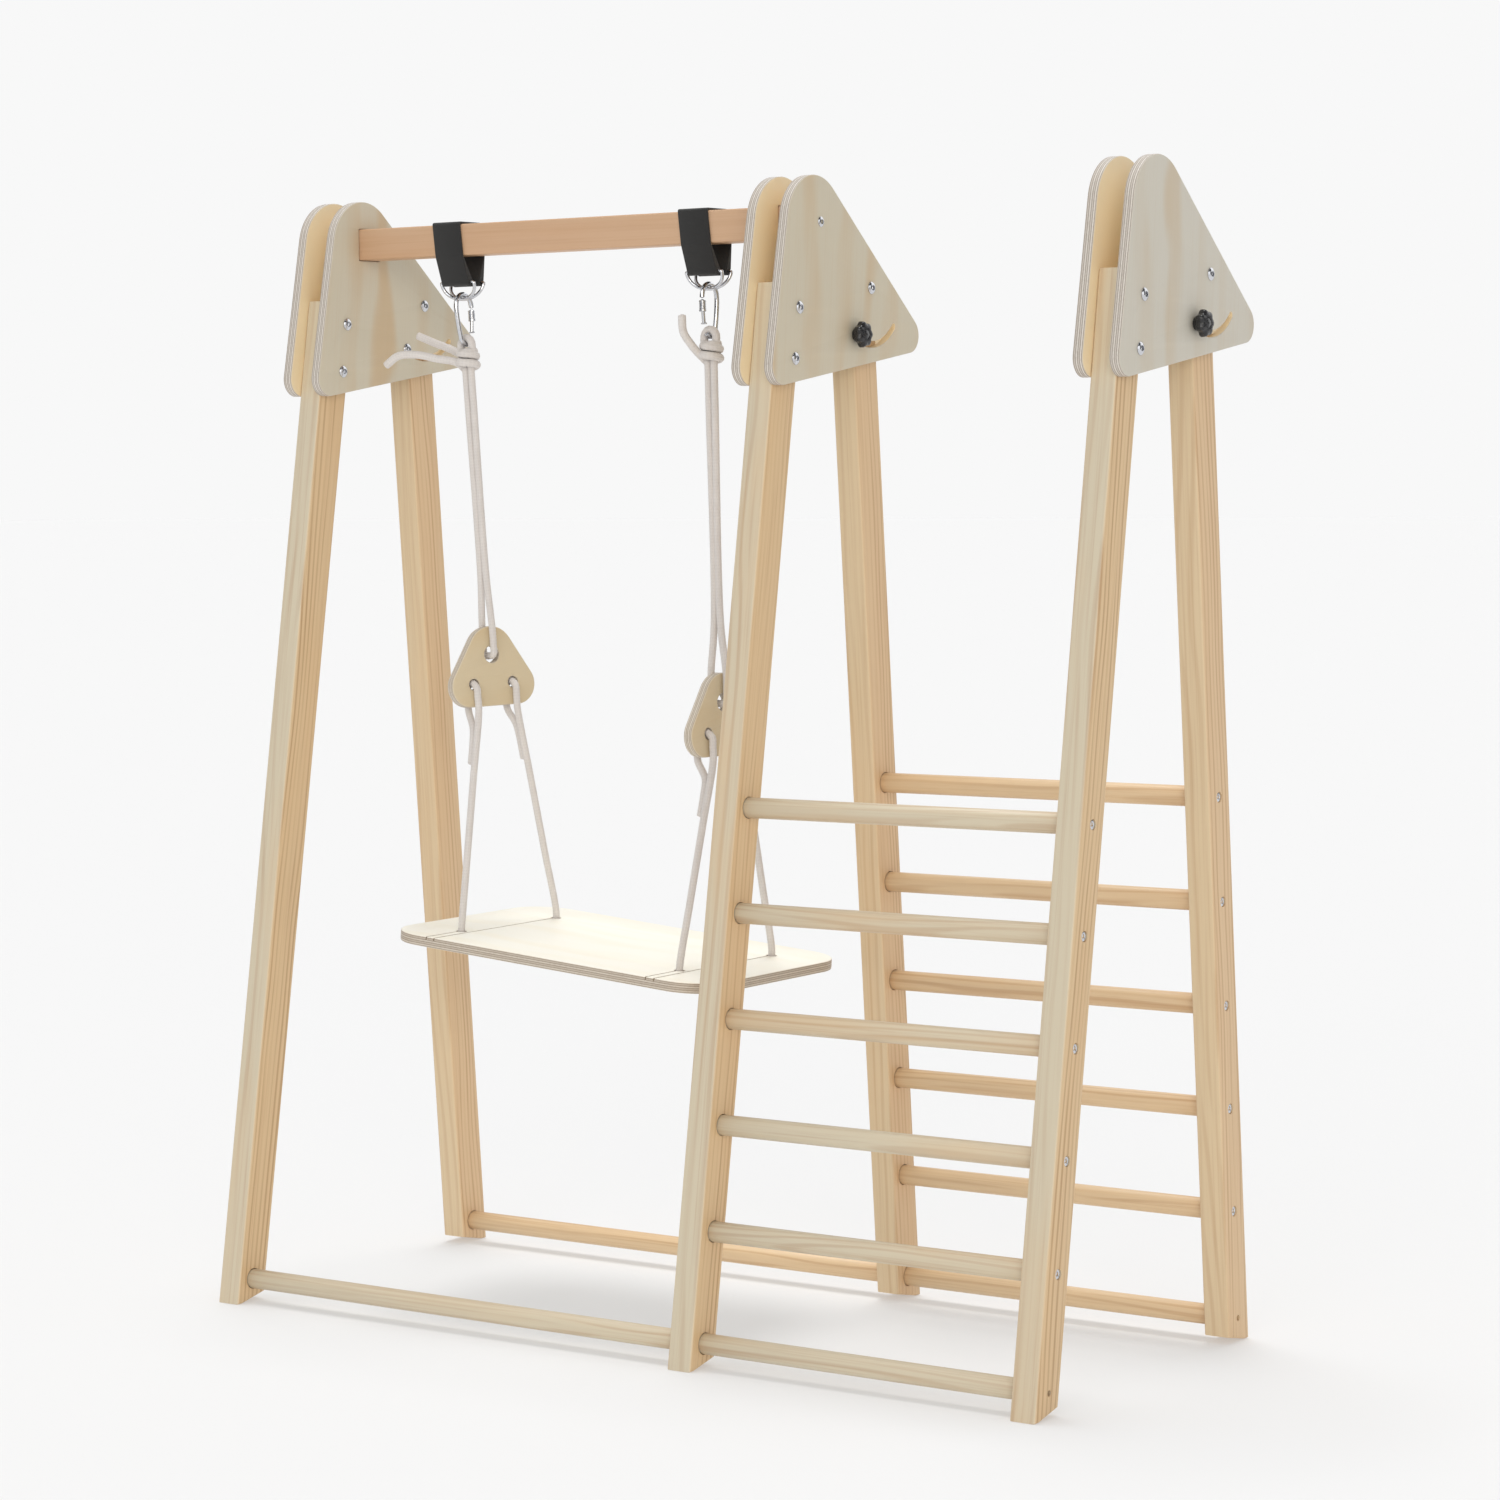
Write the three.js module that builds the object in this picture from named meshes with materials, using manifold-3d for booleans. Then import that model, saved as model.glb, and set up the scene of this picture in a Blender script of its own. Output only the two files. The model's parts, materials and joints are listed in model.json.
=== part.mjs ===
// Children's wooden swing and climbing frame: three A-frames on one line, a swing bay and a ladder bay.
// X runs along the swing bar, Y from the front legs to the rear legs, Z up. Millimetres.
// The origin is the middle of the footprint, on the floor.
import * as THREE from "three";
import { mergeVertices } from "three/addons/utils/BufferGeometryUtils.js";
import Module from "manifold-3d";

const wasm = await Module();
wasm.setup();

// ---- driving dimensions ----
const GAP = 0.3; // clearance kept between touching pieces
const FRAME_X = { left: -665, middle: 135, right: 665 }; // centre planes of the three A-frames
const LEG_THICK = 38; // leg section along X
const LEG_WIDTH = 58; // leg section across its length, in the plane of its A-frame
const LEG_EDGE = 2.5; // rounding of the legs' long edges
const HALF_DEPTH = 287; // outer corner of a foot to the middle of the footprint
const FRONT_TILT = THREE.MathUtils.degToRad(9.5); // front legs lean to the rear
const REAR_TILT = THREE.MathUtils.degToRad(4); // rear legs lean to the front
const FOOT_LAND = 10; // flat strip on which each foot stands
const FOOT_RISE = THREE.MathUtils.degToRad(12); // the rest of the foot is cut for a wider stance
const FRONT_LENGTH = 1460; // along the leg's centre line from the floor
const REAR_LENGTH = 1480;
const BOLT_STATIONS = [1360, 1430]; // the two fixed bolts, along the front leg
const PIVOT_STATION = 1445; // the pivot bolt, along the rear leg
const PLY = 15; // plywood thickness of head plates and seat
const BOLT_R = 4;
const HEAD_R = 8;
const HEAD_H = 3;
const SLOT_R = 78; // centre line of the arc slot, about the pivot
const SLOT_FROM = THREE.MathUtils.degToRad(-33); // front end, from straight down
const SLOT_TO = THREE.MathUtils.degToRad(48); // rear end
const KNOB_R = 17.5;
const KNOB_LOBES = 7;
const RUNG_R = 14;
const RUNG_FIRST = 182; // lowest rung, along the leg
const RUNG_PITCH = 142;
const RUNG_COUNT = 5;
const STRETCHER_STATION = 33; // floor stretchers, along the leg
const SOCKET = 12; // depth of a rung's socket in a leg
const BAR = 45; // square section of the swing bar
const BAR_FROM_PIVOT = [-125, 86]; // bar centre from the pivot, along Y and Z
const SCREW_R = 3;
const SCREW_LENGTH = 60;
const STRAP_WIDTH = 50;
const STRAP_THICK = 3;
const STRAP_DROP = 38; // bar underside to the middle of the strap's eyes
const WIRE_R = 2.5; // D-rings
const CARABINER_R = 3.5;
const CARABINER_LENGTH = 80;
const CARABINER_WIDTH = 42;
const ROPE_R = 4.6;
const SEAT = {
  length: 560,
  depth: 365,
  corner: 62,
  holeX: 387.3, // between the holes of the two ends
  holeY: 205, // between the front and rear holes
  holeR: 7.5,
  stagger: 7, // front holes a little to the left, rear holes to the right
  kerf: 1.8, // saw cut from the front edge to each hole
  kerfDepth: 3,
};
const SPREADER = {
  halfWidth: 95, // of the triangle before its corners are rounded
  height: 116,
  apex: 33, // of that triangle, above the top drop
  cornerR: 30,
  apexR: 38,
  topHole: 41, // below the top drop
  topHoleR: 12,
  lowHole: 83,
  lowHoleR: 8,
  holeY: 66, // between the two lower holes
};
// Each side of the swing: where the strap sits on the bar, and the height and place of what hangs from it.
const SIDES = [
  {
    name: "left", end: -1, strapX: -456, seatX: -390, seatZ: 526,
    spreaderTop: 968, turn: 20, spine: -1, tails: "side",
  },
  {
    name: "right", end: 1, strapX: -18, seatX: -4, seatZ: 494,
    spreaderTop: 909, turn: 5, spine: 1, tails: "up",
  },
];

// ---- materials ----
const finish = (color, roughness, metalness = 0) =>
  new THREE.MeshStandardMaterial({ color, roughness, metalness });
const PINE = finish(0xe3c79d, 0.6);
const BEECH = finish(0xd9a97f, 0.5);
const PLYWOOD = finish(0xd9cbae, 0.6);
const ZINC = finish(0xb9bcc0, 0.35, 1);
const BLACK_PLASTIC = finish(0x0d0d0f, 0.3);
const WEBBING = finish(0x1c1c1e, 0.85);
const COTTON = finish(0xd9d2d0, 0.9);

const set = new THREE.Group();

function place(name, geometry, material, parent = set) {
  const mesh = new THREE.Mesh(geometry, material);
  mesh.name = name;
  parent.add(mesh);
  return mesh;
}

// ---- solids ----
function toSolid(geometry) {
  let plain = geometry.clone();
  plain.deleteAttribute("normal");
  plain.deleteAttribute("uv");
  plain = mergeVertices(plain, 1e-4);
  return new wasm.Manifold(
    new wasm.Mesh({
      numProp: 3,
      vertProperties: new Float32Array(plain.attributes.position.array),
      triVerts: new Uint32Array(plain.index.array),
    }),
  );
}

function toGeometry(solid) {
  const mesh = solid.getMesh();
  const geometry = new THREE.BufferGeometry();
  geometry.setAttribute("position", new THREE.BufferAttribute(new Float32Array(mesh.vertProperties), 3));
  geometry.setIndex(new THREE.BufferAttribute(new Uint32Array(mesh.triVerts), 1));
  geometry.computeVertexNormals();
  return geometry;
}

const cut = (body, tools) =>
  toGeometry(tools.reduce((solid, tool) => solid.subtract(toSolid(tool)), toSolid(body)));
const join = (pieces) =>
  toGeometry(pieces.slice(1).reduce((solid, piece) => solid.add(toSolid(piece)), toSolid(pieces[0])));

// An outline drawn in Y and Z, given thickness along X from x0 to x1.
function slabX(shape, x0, x1, edge = 0) {
  const geometry = new THREE.ExtrudeGeometry(shape, {
    depth: x1 - x0 - 2 * edge,
    bevelEnabled: edge > 0,
    bevelThickness: edge,
    bevelSize: edge,
    bevelOffset: -edge,
    bevelSegments: 1,
    curveSegments: 4,
  });
  geometry.translate(0, 0, x0 + edge);
  const turn = new THREE.Matrix4().makeBasis(
    new THREE.Vector3(0, 1, 0),
    new THREE.Vector3(0, 0, 1),
    new THREE.Vector3(1, 0, 0),
  );
  return geometry.applyMatrix4(turn);
}

function rodX(x0, x1, [y, z], radius, sides = 14) {
  const geometry = new THREE.CylinderGeometry(radius, radius, x1 - x0, sides);
  geometry.rotateZ(Math.PI / 2);
  geometry.translate((x0 + x1) / 2, y, z);
  return geometry;
}

// A turned piece on an axis along X. The profile lists [distance along X, radius].
function turnedX(profile, [y, z], sides = 12) {
  const points = profile.map(([along, radius]) => new THREE.Vector2(radius, along));
  const geometry = new THREE.LatheGeometry(points, sides);
  geometry.rotateZ(-Math.PI / 2);
  geometry.translate(0, y, z);
  return geometry;
}

const polygon = (points) => new THREE.Shape(points.map(([a, b]) => new THREE.Vector2(a, b)));

// A polygon whose corners are rounded, each corner given as [a, b, radius], listed anticlockwise.
function roundedPolygon(corners) {
  const shape = new THREE.Shape();
  corners.forEach(([a, b, radius], i) => {
    const before = corners[(i + corners.length - 1) % corners.length];
    const after = corners[(i + 1) % corners.length];
    const here = new THREE.Vector2(a, b);
    const back = new THREE.Vector2(before[0], before[1]).sub(here).normalize();
    const on = new THREE.Vector2(after[0], after[1]).sub(here).normalize();
    const half = Math.acos(back.dot(on)) / 2;
    const inward = back.clone().add(on).normalize();
    const centre = here.clone().addScaledVector(inward, radius / Math.sin(half));
    const from = here.clone().add(back.multiplyScalar(radius / Math.tan(half))).sub(centre);
    const to = here.clone().add(on.multiplyScalar(radius / Math.tan(half))).sub(centre);
    shape.absarc(centre.x, centre.y, radius, from.angle(), to.angle(), false);
  });
  shape.closePath();
  return shape;
}

// A smooth path that gives every span between two listed points the same number of steps.
class SpanPath extends THREE.CatmullRomCurve3 {
  getPointAt(share, target) {
    return this.getPoint(share, target);
  }
  getTangentAt(share, target) {
    return this.getTangent(share, target);
  }
}

// Rope, wire or rod along a path: a round section, with its ends cut square.
function ropeAlong(points, radius, sides, stepsPerSpan) {
  const section = new THREE.Shape();
  section.absarc(0, 0, radius, 0, 2 * Math.PI, false);
  return new THREE.ExtrudeGeometry(section, {
    steps: (points.length - 1) * stepsPerSpan,
    bevelEnabled: false,
    curveSegments: sides / 2,
    extrudePath: new SpanPath(points.map((p) => new THREE.Vector3(...p))),
  });
}

// ---- legs ----
// A leg's own line: station along it from the floor, offset across it, positive to the rear.
function legLine(footY, lean) {
  return (station, offset = 0) => [
    footY + Math.sin(lean) * station + Math.cos(lean) * offset,
    Math.cos(lean) * station - Math.sin(lean) * offset,
  ];
}
const halfAtFloor = (tilt) => LEG_WIDTH / 2 / Math.cos(tilt);
const frontLine = legLine(-HALF_DEPTH + halfAtFloor(FRONT_TILT), FRONT_TILT);
const rearLine = legLine(HALF_DEPTH - halfAtFloor(REAR_TILT), -REAR_TILT);
const PIVOT = rearLine(PIVOT_STATION);
const RUNG_STATIONS = Array.from({ length: RUNG_COUNT }, (_, i) => RUNG_FIRST + i * RUNG_PITCH);
const BAR_CENTRE = [PIVOT[0] + BAR_FROM_PIVOT[0], PIVOT[1] + BAR_FROM_PIVOT[1]];

// Side view of a leg. side is -1 for a front leg and +1 for a rear leg: the way its outer face looks.
function legOutline(line, length, side, tilt) {
  const outer = (station) => line(station, (side * LEG_WIDTH) / 2);
  const inner = (station) => line(station, (-side * LEG_WIDTH) / 2);
  const corner = [side * HALF_DEPTH, 0];
  const land = [side * (HALF_DEPTH - FOOT_LAND), 0];
  const across = 2 * halfAtFloor(tilt) - FOOT_LAND;
  const rise = (across * Math.tan(FOOT_RISE)) / (1 + Math.tan(FOOT_RISE) * Math.tan(tilt));
  const innerFoot = [land[0] - side * (across - rise * Math.tan(tilt)), rise];
  const points = [corner, land, innerFoot, inner(length), outer(length)];
  return polygon(side < 0 ? points : points.reverse());
}

const frontOutline = legOutline(frontLine, FRONT_LENGTH, -1, FRONT_TILT);
const rearOutline = legOutline(rearLine, REAR_LENGTH, 1, REAR_TILT);

function makeLeg(name, x, outline, line, boltStations, rungFaces, stretcherFaces) {
  const body = slabX(outline, x - LEG_THICK / 2, x + LEG_THICK / 2, LEG_EDGE);
  const tools = boltStations.map((s) => rodX(x - LEG_THICK, x + LEG_THICK, line(s), BOLT_R + GAP));
  const socket = (station, face) => {
    const surface = x + (face * LEG_THICK) / 2;
    const bottom = surface - face * (SOCKET + GAP);
    const [x0, x1] = [Math.min(bottom, surface + face), Math.max(bottom, surface + face)];
    return rodX(x0, x1, line(station), RUNG_R + 2 * GAP, 16);
  };
  rungFaces.forEach((face) => RUNG_STATIONS.forEach((s) => tools.push(socket(s, face))));
  stretcherFaces.forEach((face) => tools.push(socket(STRETCHER_STATION, face)));
  place(name, cut(body, tools), PINE);
}

const SOCKETS = {
  left: { rungs: [], stretchers: [1] },
  middle: { rungs: [1], stretchers: [-1, 1] },
  right: { rungs: [-1], stretchers: [-1] },
};
for (const [name, x] of Object.entries(FRAME_X)) {
  const { rungs, stretchers } = SOCKETS[name];
  makeLeg(`${name}_front_leg`, x, frontOutline, frontLine, BOLT_STATIONS, rungs, stretchers);
  makeLeg(`${name}_rear_leg`, x, rearOutline, rearLine, [PIVOT_STATION], rungs, stretchers);
}

// ---- rungs and floor stretchers ----
function makeRung(name, fromFrame, toFrame, centre) {
  const start = FRAME_X[fromFrame] + LEG_THICK / 2 - SOCKET;
  const end = FRAME_X[toFrame] - LEG_THICK / 2 + SOCKET;
  place(name, rodX(start, end, centre, RUNG_R, 16), PINE);
}
for (const [row, line] of [["front", frontLine], ["rear", rearLine]]) {
  RUNG_STATIONS.forEach((s, i) => makeRung(`${row}_rung_${i + 1}`, "middle", "right", line(s)));
  makeRung(`${row}_ladder_stretcher`, "middle", "right", line(STRETCHER_STATION));
  makeRung(`${row}_swing_stretcher`, "left", "middle", line(STRETCHER_STATION));
}

// ---- head plates ----
// The plate's three corners before rounding: along Y and Z from the pivot, and the corner's radius.
const PLATE_CORNERS = [[-251, -141, 25], [156, -80, 25], [-181, 208, 68]];
const plateOutline = roundedPolygon(
  PLATE_CORNERS.map(([y, z, radius]) => [PIVOT[0] + y, PIVOT[1] + z, radius]),
);

const SLOT_PLAY = 0.5; // on each side of the stud
function slotTool(x0, x1) {
  const half = BOLT_R + SLOT_PLAY;
  const shape = new THREE.Shape();
  const down = -Math.PI / 2;
  const end = (angle, from) => {
    const centre = [PIVOT[0] + SLOT_R * Math.sin(angle), PIVOT[1] - SLOT_R * Math.cos(angle)];
    shape.absarc(...centre, half, from, from + Math.PI, false);
  };
  shape.absarc(...PIVOT, SLOT_R + half, down + SLOT_FROM, down + SLOT_TO, false);
  end(SLOT_TO, down + SLOT_TO);
  shape.absarc(...PIVOT, SLOT_R - half, down + SLOT_TO, down + SLOT_FROM, true);
  end(SLOT_FROM, down + SLOT_FROM + Math.PI);
  return slabX(shape, x0, x1);
}

const squareAt = ([y, z], half) =>
  polygon([
    [y - half, z - half],
    [y + half, z - half],
    [y + half, z + half],
    [y - half, z + half],
  ]);

// side is +1 for the plate on the frame's +X face and -1 for the other one.
function makePlate(name, frame, side, barFit) {
  const inner = FRAME_X[frame] + side * (LEG_THICK / 2 + GAP);
  const outer = inner + side * PLY;
  const [x0, x1] = [Math.min(inner, outer), Math.max(inner, outer)];
  const [t0, t1] = [x0 - 1, x1 + 1];
  const tools = BOLT_STATIONS.map((s) => rodX(t0, t1, frontLine(s), BOLT_R + GAP));
  tools.push(rodX(t0, t1, PIVOT, BOLT_R + GAP), slotTool(t0, t1));
  if (barFit === "through") tools.push(slabX(squareAt(BAR_CENTRE, BAR / 2 + GAP), t0, t1));
  if (barFit === "screwed") tools.push(rodX(t0, t1, BAR_CENTRE, SCREW_R + GAP));
  place(name, cut(slabX(plateOutline, x0, x1), tools), PLYWOOD);
}
makePlate("left_outer_plate", "left", -1, "screwed");
makePlate("left_inner_plate", "left", 1, "through");
makePlate("middle_inner_plate", "middle", -1, "through");
makePlate("middle_outer_plate", "middle", 1, "screwed");
makePlate("right_inner_plate", "right", -1, "none");
makePlate("right_outer_plate", "right", 1, "none");

// ---- fixings ----
const STACK = LEG_THICK / 2 + GAP + PLY + GAP; // middle of a frame to the outside of its plates
function makeBolt(name, x, centre) {
  const profile = [
    [-STACK - HEAD_H, 0], [-STACK - HEAD_H, HEAD_R], [-STACK, HEAD_R], [-STACK, BOLT_R],
    [STACK, BOLT_R], [STACK, HEAD_R], [STACK + HEAD_H, HEAD_R - 1.5], [STACK + HEAD_H, 0],
  ];
  const geometry = turnedX(profile, centre);
  geometry.translate(x, 0, 0);
  place(name, geometry, ZINC);
}
for (const [name, x] of Object.entries(FRAME_X)) {
  makeBolt(`${name}_lower_bolt`, x, frontLine(BOLT_STATIONS[0]));
  makeBolt(`${name}_upper_bolt`, x, frontLine(BOLT_STATIONS[1]));
  makeBolt(`${name}_pivot_bolt`, x, PIVOT);
}

// Star knob with its stud through both slots and a round nut at the far end.
// side is +1 for a knob on the frame's +X face and -1 for one on the other face.
const LOBE_DEPTH = 2.2;
const POINTS_PER_LOBE = 5;
const HUB_R = 9;
const HUB_LENGTH = 8; // collar between the plate and the star
const STAR_HEIGHT = 12;
const KNOB_CENTRE = [PIVOT[0] + SLOT_R * Math.sin(SLOT_FROM), PIVOT[1] - SLOT_R * Math.cos(SLOT_FROM)];
function makeKnob(name, x, side) {
  const star = new THREE.Shape();
  const steps = KNOB_LOBES * POINTS_PER_LOBE;
  for (let i = 0; i < steps; i++) {
    const angle = (2 * Math.PI * i) / steps;
    const radius = KNOB_R - LOBE_DEPTH + LOBE_DEPTH * Math.cos(KNOB_LOBES * angle);
    const point = [KNOB_CENTRE[0] + radius * Math.cos(angle), KNOB_CENTRE[1] + radius * Math.sin(angle)];
    if (i === 0) star.moveTo(...point);
    else star.lineTo(...point);
  }
  const profile = [
    [-STACK - HEAD_H, 0], [-STACK - HEAD_H, HEAD_R], [-STACK, HEAD_R], [-STACK, BOLT_R],
    [STACK, BOLT_R], [STACK, HUB_R], [STACK + HUB_LENGTH, HUB_R + 1], [STACK + HUB_LENGTH + 1, 0],
  ];
  const stud = turnedX(profile, KNOB_CENTRE);
  const grip = slabX(star, STACK + HUB_LENGTH - 1, STACK + HUB_LENGTH + STAR_HEIGHT, 1.5);
  const body = join([stud, grip]);
  if (side < 0) {
    body.applyMatrix4(new THREE.Matrix4().makeRotationZ(Math.PI));
    body.translate(0, 2 * KNOB_CENTRE[0], 0);
  }
  body.translate(x, 0, 0);
  place(name, body, BLACK_PLASTIC);
}
makeKnob("left_star_knob", FRAME_X.left, -1);
makeKnob("middle_star_knob", FRAME_X.middle, 1);
makeKnob("right_star_knob", FRAME_X.right, 1);

// ---- swing bar ----
const BAR_FROM = FRAME_X.left - LEG_THICK / 2;
const BAR_TO = FRAME_X.middle + LEG_THICK / 2;
const pilots = [
  rodX(BAR_FROM - 1, BAR_FROM + SCREW_LENGTH, BAR_CENTRE, SCREW_R + GAP),
  rodX(BAR_TO - SCREW_LENGTH, BAR_TO + 1, BAR_CENTRE, SCREW_R + GAP),
];
place("swing_bar", cut(slabX(squareAt(BAR_CENTRE, BAR / 2), BAR_FROM, BAR_TO, 1.5), pilots), BEECH);
const SCREW_HEAD_R = 7;
const SCREW_HEAD_H = 2;
for (const [name, end, way] of [["left", BAR_FROM, -1], ["right", BAR_TO, 1]]) {
  const face = GAP + PLY + GAP;
  const profile = [
    [-SCREW_LENGTH + 12, 0],
    [-SCREW_LENGTH + 16, SCREW_R],
    [face, SCREW_R],
    [face, SCREW_HEAD_R],
    [face + SCREW_HEAD_H, SCREW_HEAD_R - 2],
    [face + SCREW_HEAD_H, 0],
  ];
  const geometry = turnedX(profile, [0, 0]);
  if (way < 0) geometry.rotateZ(Math.PI);
  geometry.translate(end, ...BAR_CENTRE);
  place(`bar_${name}_screw`, geometry, ZINC);
}

// ---- swing hangers ----
const [BAR_Y, BAR_Z] = BAR_CENTRE;
const EYE_Z = BAR_Z - BAR / 2 - STRAP_DROP;
const EYE_Y = 12; // each eye of the strap, from the middle of the bar
const RING_DROP = 24;
const RING_BOTTOM = EYE_Z - RING_DROP;
const HANG_Z = RING_BOTTOM + WIRE_R + CARABINER_R + 0.9; // top of the carabiner's centre line

// Webbing over the bar, as a band of even thickness with an eye at each end for a D-ring.
const WIRE_PLAY = 0.5;
function makeStrap(name, x) {
  const inside = BAR / 2 + WIRE_PLAY;
  const outside = inside + STRAP_THICK;
  const eyeR = WIRE_R + WIRE_PLAY + STRAP_THICK;
  const [x0, x1] = [x - STRAP_WIDTH / 2, x + STRAP_WIDTH / 2];
  // One face of the band on one side of the bar, from its eye up to the bar's top.
  const face = (side, reach, eyeY, eyeZ) => [
    [side * eyeY, eyeZ],
    [side * reach, BAR_Z - BAR / 2 - 1],
    [side * reach, BAR_Z + reach],
  ];
  const outer = (side) => face(side, outside, EYE_Y + 3, EYE_Z + 4);
  const inner = (side) => face(side, inside, EYE_Y - 2, EYE_Z + 3);
  const loop = [...outer(1), ...outer(-1).reverse(), ...inner(-1), ...inner(1).reverse()];
  const band = polygon(loop.map(([y, z]) => [BAR_Y + y, z]));
  const eyes = [-1, 1].map((side) => [BAR_Y + side * EYE_Y, EYE_Z]);
  const ends = eyes.map((eye) => rodX(x0, x1, eye, eyeR, 16));
  const bores = eyes.map((eye) => rodX(x0 - 1, x1 + 1, eye, WIRE_R + WIRE_PLAY, 12));
  place(name, cut(join([slabX(band, x0, x1), ...ends]), bores), WEBBING);
}

// A closed ring of round wire. centres lists its centre line, all in one plane with the given normal.
function wireRing(centres, normal, radius, sides = 6) {
  const count = centres.length;
  const positions = [];
  const index = [];
  centres.forEach((centre, i) => {
    const ahead = centres[(i + 1) % count].clone().sub(centres[(i + count - 1) % count]).normalize();
    const across = ahead.clone().cross(normal).normalize();
    for (let k = 0; k < sides; k++) {
      const angle = (2 * Math.PI * k) / sides;
      const offset = across.clone().multiplyScalar(radius * Math.cos(angle));
      offset.addScaledVector(normal, radius * Math.sin(angle));
      positions.push(...centre.clone().add(offset).toArray());
      const next = (i + 1) % count;
      const [a, b] = [i * sides + k, i * sides + ((k + 1) % sides)];
      const [c, d] = [next * sides + k, next * sides + ((k + 1) % sides)];
      index.push(a, c, b, b, c, d);
    }
  });
  const geometry = new THREE.BufferGeometry();
  geometry.setAttribute("position", new THREE.Float32BufferAttribute(positions, 3));
  geometry.setIndex(index);
  geometry.computeVertexNormals();
  return geometry;
}

// D-ring: a straight bar in the strap's eye and a bow below it that leans to the middle.
const RING_HALF = STRAP_WIDTH / 2 + 5;
const RING_BOTTOM_Y = 3.2; // the bows of the two rings meet here, from the middle of the bar
const RING_STEPS = 14;
function makeRing(name, x, side) {
  const top = new THREE.Vector3(x, BAR_Y + side * EYE_Y, EYE_Z);
  const down = new THREE.Vector3(0, side * (RING_BOTTOM_Y - EYE_Y), -RING_DROP);
  const along = new THREE.Vector3(1, 0, 0);
  const normal = along.clone().cross(down).normalize();
  const centres = [];
  for (const end of [-1, 1]) centres.push(top.clone().addScaledVector(along, end * (RING_HALF - 3)));
  for (let i = 0; i <= RING_STEPS; i++) {
    const angle = (Math.PI * i) / RING_STEPS;
    const fall = Math.max(Math.pow(Math.sin(angle), 0.8), 0.06);
    const centre = top.clone().addScaledVector(along, RING_HALF * Math.cos(angle));
    centres.push(centre.addScaledVector(down, fall));
  }
  place(name, wireRing(centres, normal, WIRE_R), ZINC);
}

// Everything below the D-rings hangs on one line per side, built straight down and then leaned over.
function hanger(side) {
  const group = new THREE.Group();
  group.position.set(side.strapX, BAR_Y, HANG_Z);
  group.rotation.y = Math.atan2(side.strapX - side.seatX, HANG_Z - side.seatZ);
  set.add(group);
  return group;
}

// Screw-gate carabiner in the YZ plane. spine: the side of its solid back.
const GATE_FROM = 20; // below the top of the centre line
const GATE_TO = 62;
const GATE_R = 2.6;
const SLEEVE_R = 5;
const SLEEVE_LENGTH = 16;
const SLEEVE_DROP = 31; // its middle, below the top of the centre line
function makeCarabiner(side, group) {
  const half = CARABINER_WIDTH / 2 - CARABINER_R;
  const low = CARABINER_LENGTH - 2 * CARABINER_R;
  const lowHalf = half - 5;
  const back = side.spine;
  const arc = (cy, cz, ry, rz, from, to, count) =>
    Array.from({ length: count }, (_, i) => {
      const angle = from + ((to - from) * i) / (count - 1);
      return [0, cy + ry * Math.cos(angle), cz + rz * Math.sin(angle)];
    });
  const points = [
    [0, -back * half, -GATE_FROM],
    ...arc(0, -half, -back * half, half, 0, Math.PI, 7),
    [0, back * (half - 1), -low * 0.5],
    ...arc(0, -low + lowHalf, back * lowHalf, -lowHalf, 0, Math.PI * 0.78, 6),
  ];
  place(`${side.name}_carabiner`, ropeAlong(points, CARABINER_R, 8, 2), ZINC, group);
  const pinY = -back * (half - 3);
  const gateLine = [
    [0, -back * half, -GATE_FROM - GAP - 1],
    [0, (-back * half + pinY) / 2, -40],
    [0, pinY, -GATE_TO + 7],
  ];
  const sleeve = new THREE.CylinderGeometry(SLEEVE_R, SLEEVE_R, SLEEVE_LENGTH, 12);
  sleeve.rotateX(Math.PI / 2);
  sleeve.translate(0, -back * (half - 0.6), -SLEEVE_DROP);
  place(`${side.name}_gate`, join([ropeAlong(gateLine, GATE_R, 8, 2), sleeve]), ZINC, group);
}

// Doubled rope from the knot round the bridge of the spreader plate, and the knot below the carabiner.
const BRIDGE_RISE = 4; // rope's turning point on the bridge, above the middle of the spreader's top hole
const STRAND_Y = 5.2; // each strand from the hanger's line
const KNOT_DROP = CARABINER_LENGTH + 14; // knot's middle below the top of the carabiner
const KNOT_R = 17;
function makeUpperRope(side, group, holeDrop) {
  const bridge = PLY / 2 + ROPE_R + 1.4;
  const top = KNOT_DROP + KNOT_R + 1;
  const turn = THREE.MathUtils.degToRad(-side.turn);
  // One strand on its way down, the other way round for the second strand. way is -1 or +1.
  const strand = (way) => [
    [way * STRAND_Y, 0, -top],
    [way * STRAND_Y, 0, -top - 60],
    [way * STRAND_Y, 0, -holeDrop + 110],
    ...[[bridge, 36], [bridge, 10], [bridge, -1], [bridge - 4, -5]].map(([out, up]) => [
      way * out * Math.cos(turn), way * out * Math.sin(turn), -holeDrop + up,
    ]),
  ];
  const points = [...strand(-1), [0, 0, -holeDrop - 6], ...strand(1).reverse()];
  place(`${side.name}_upper_rope`, ropeAlong(points, ROPE_R, 8, 2), COTTON, group);
}

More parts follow.
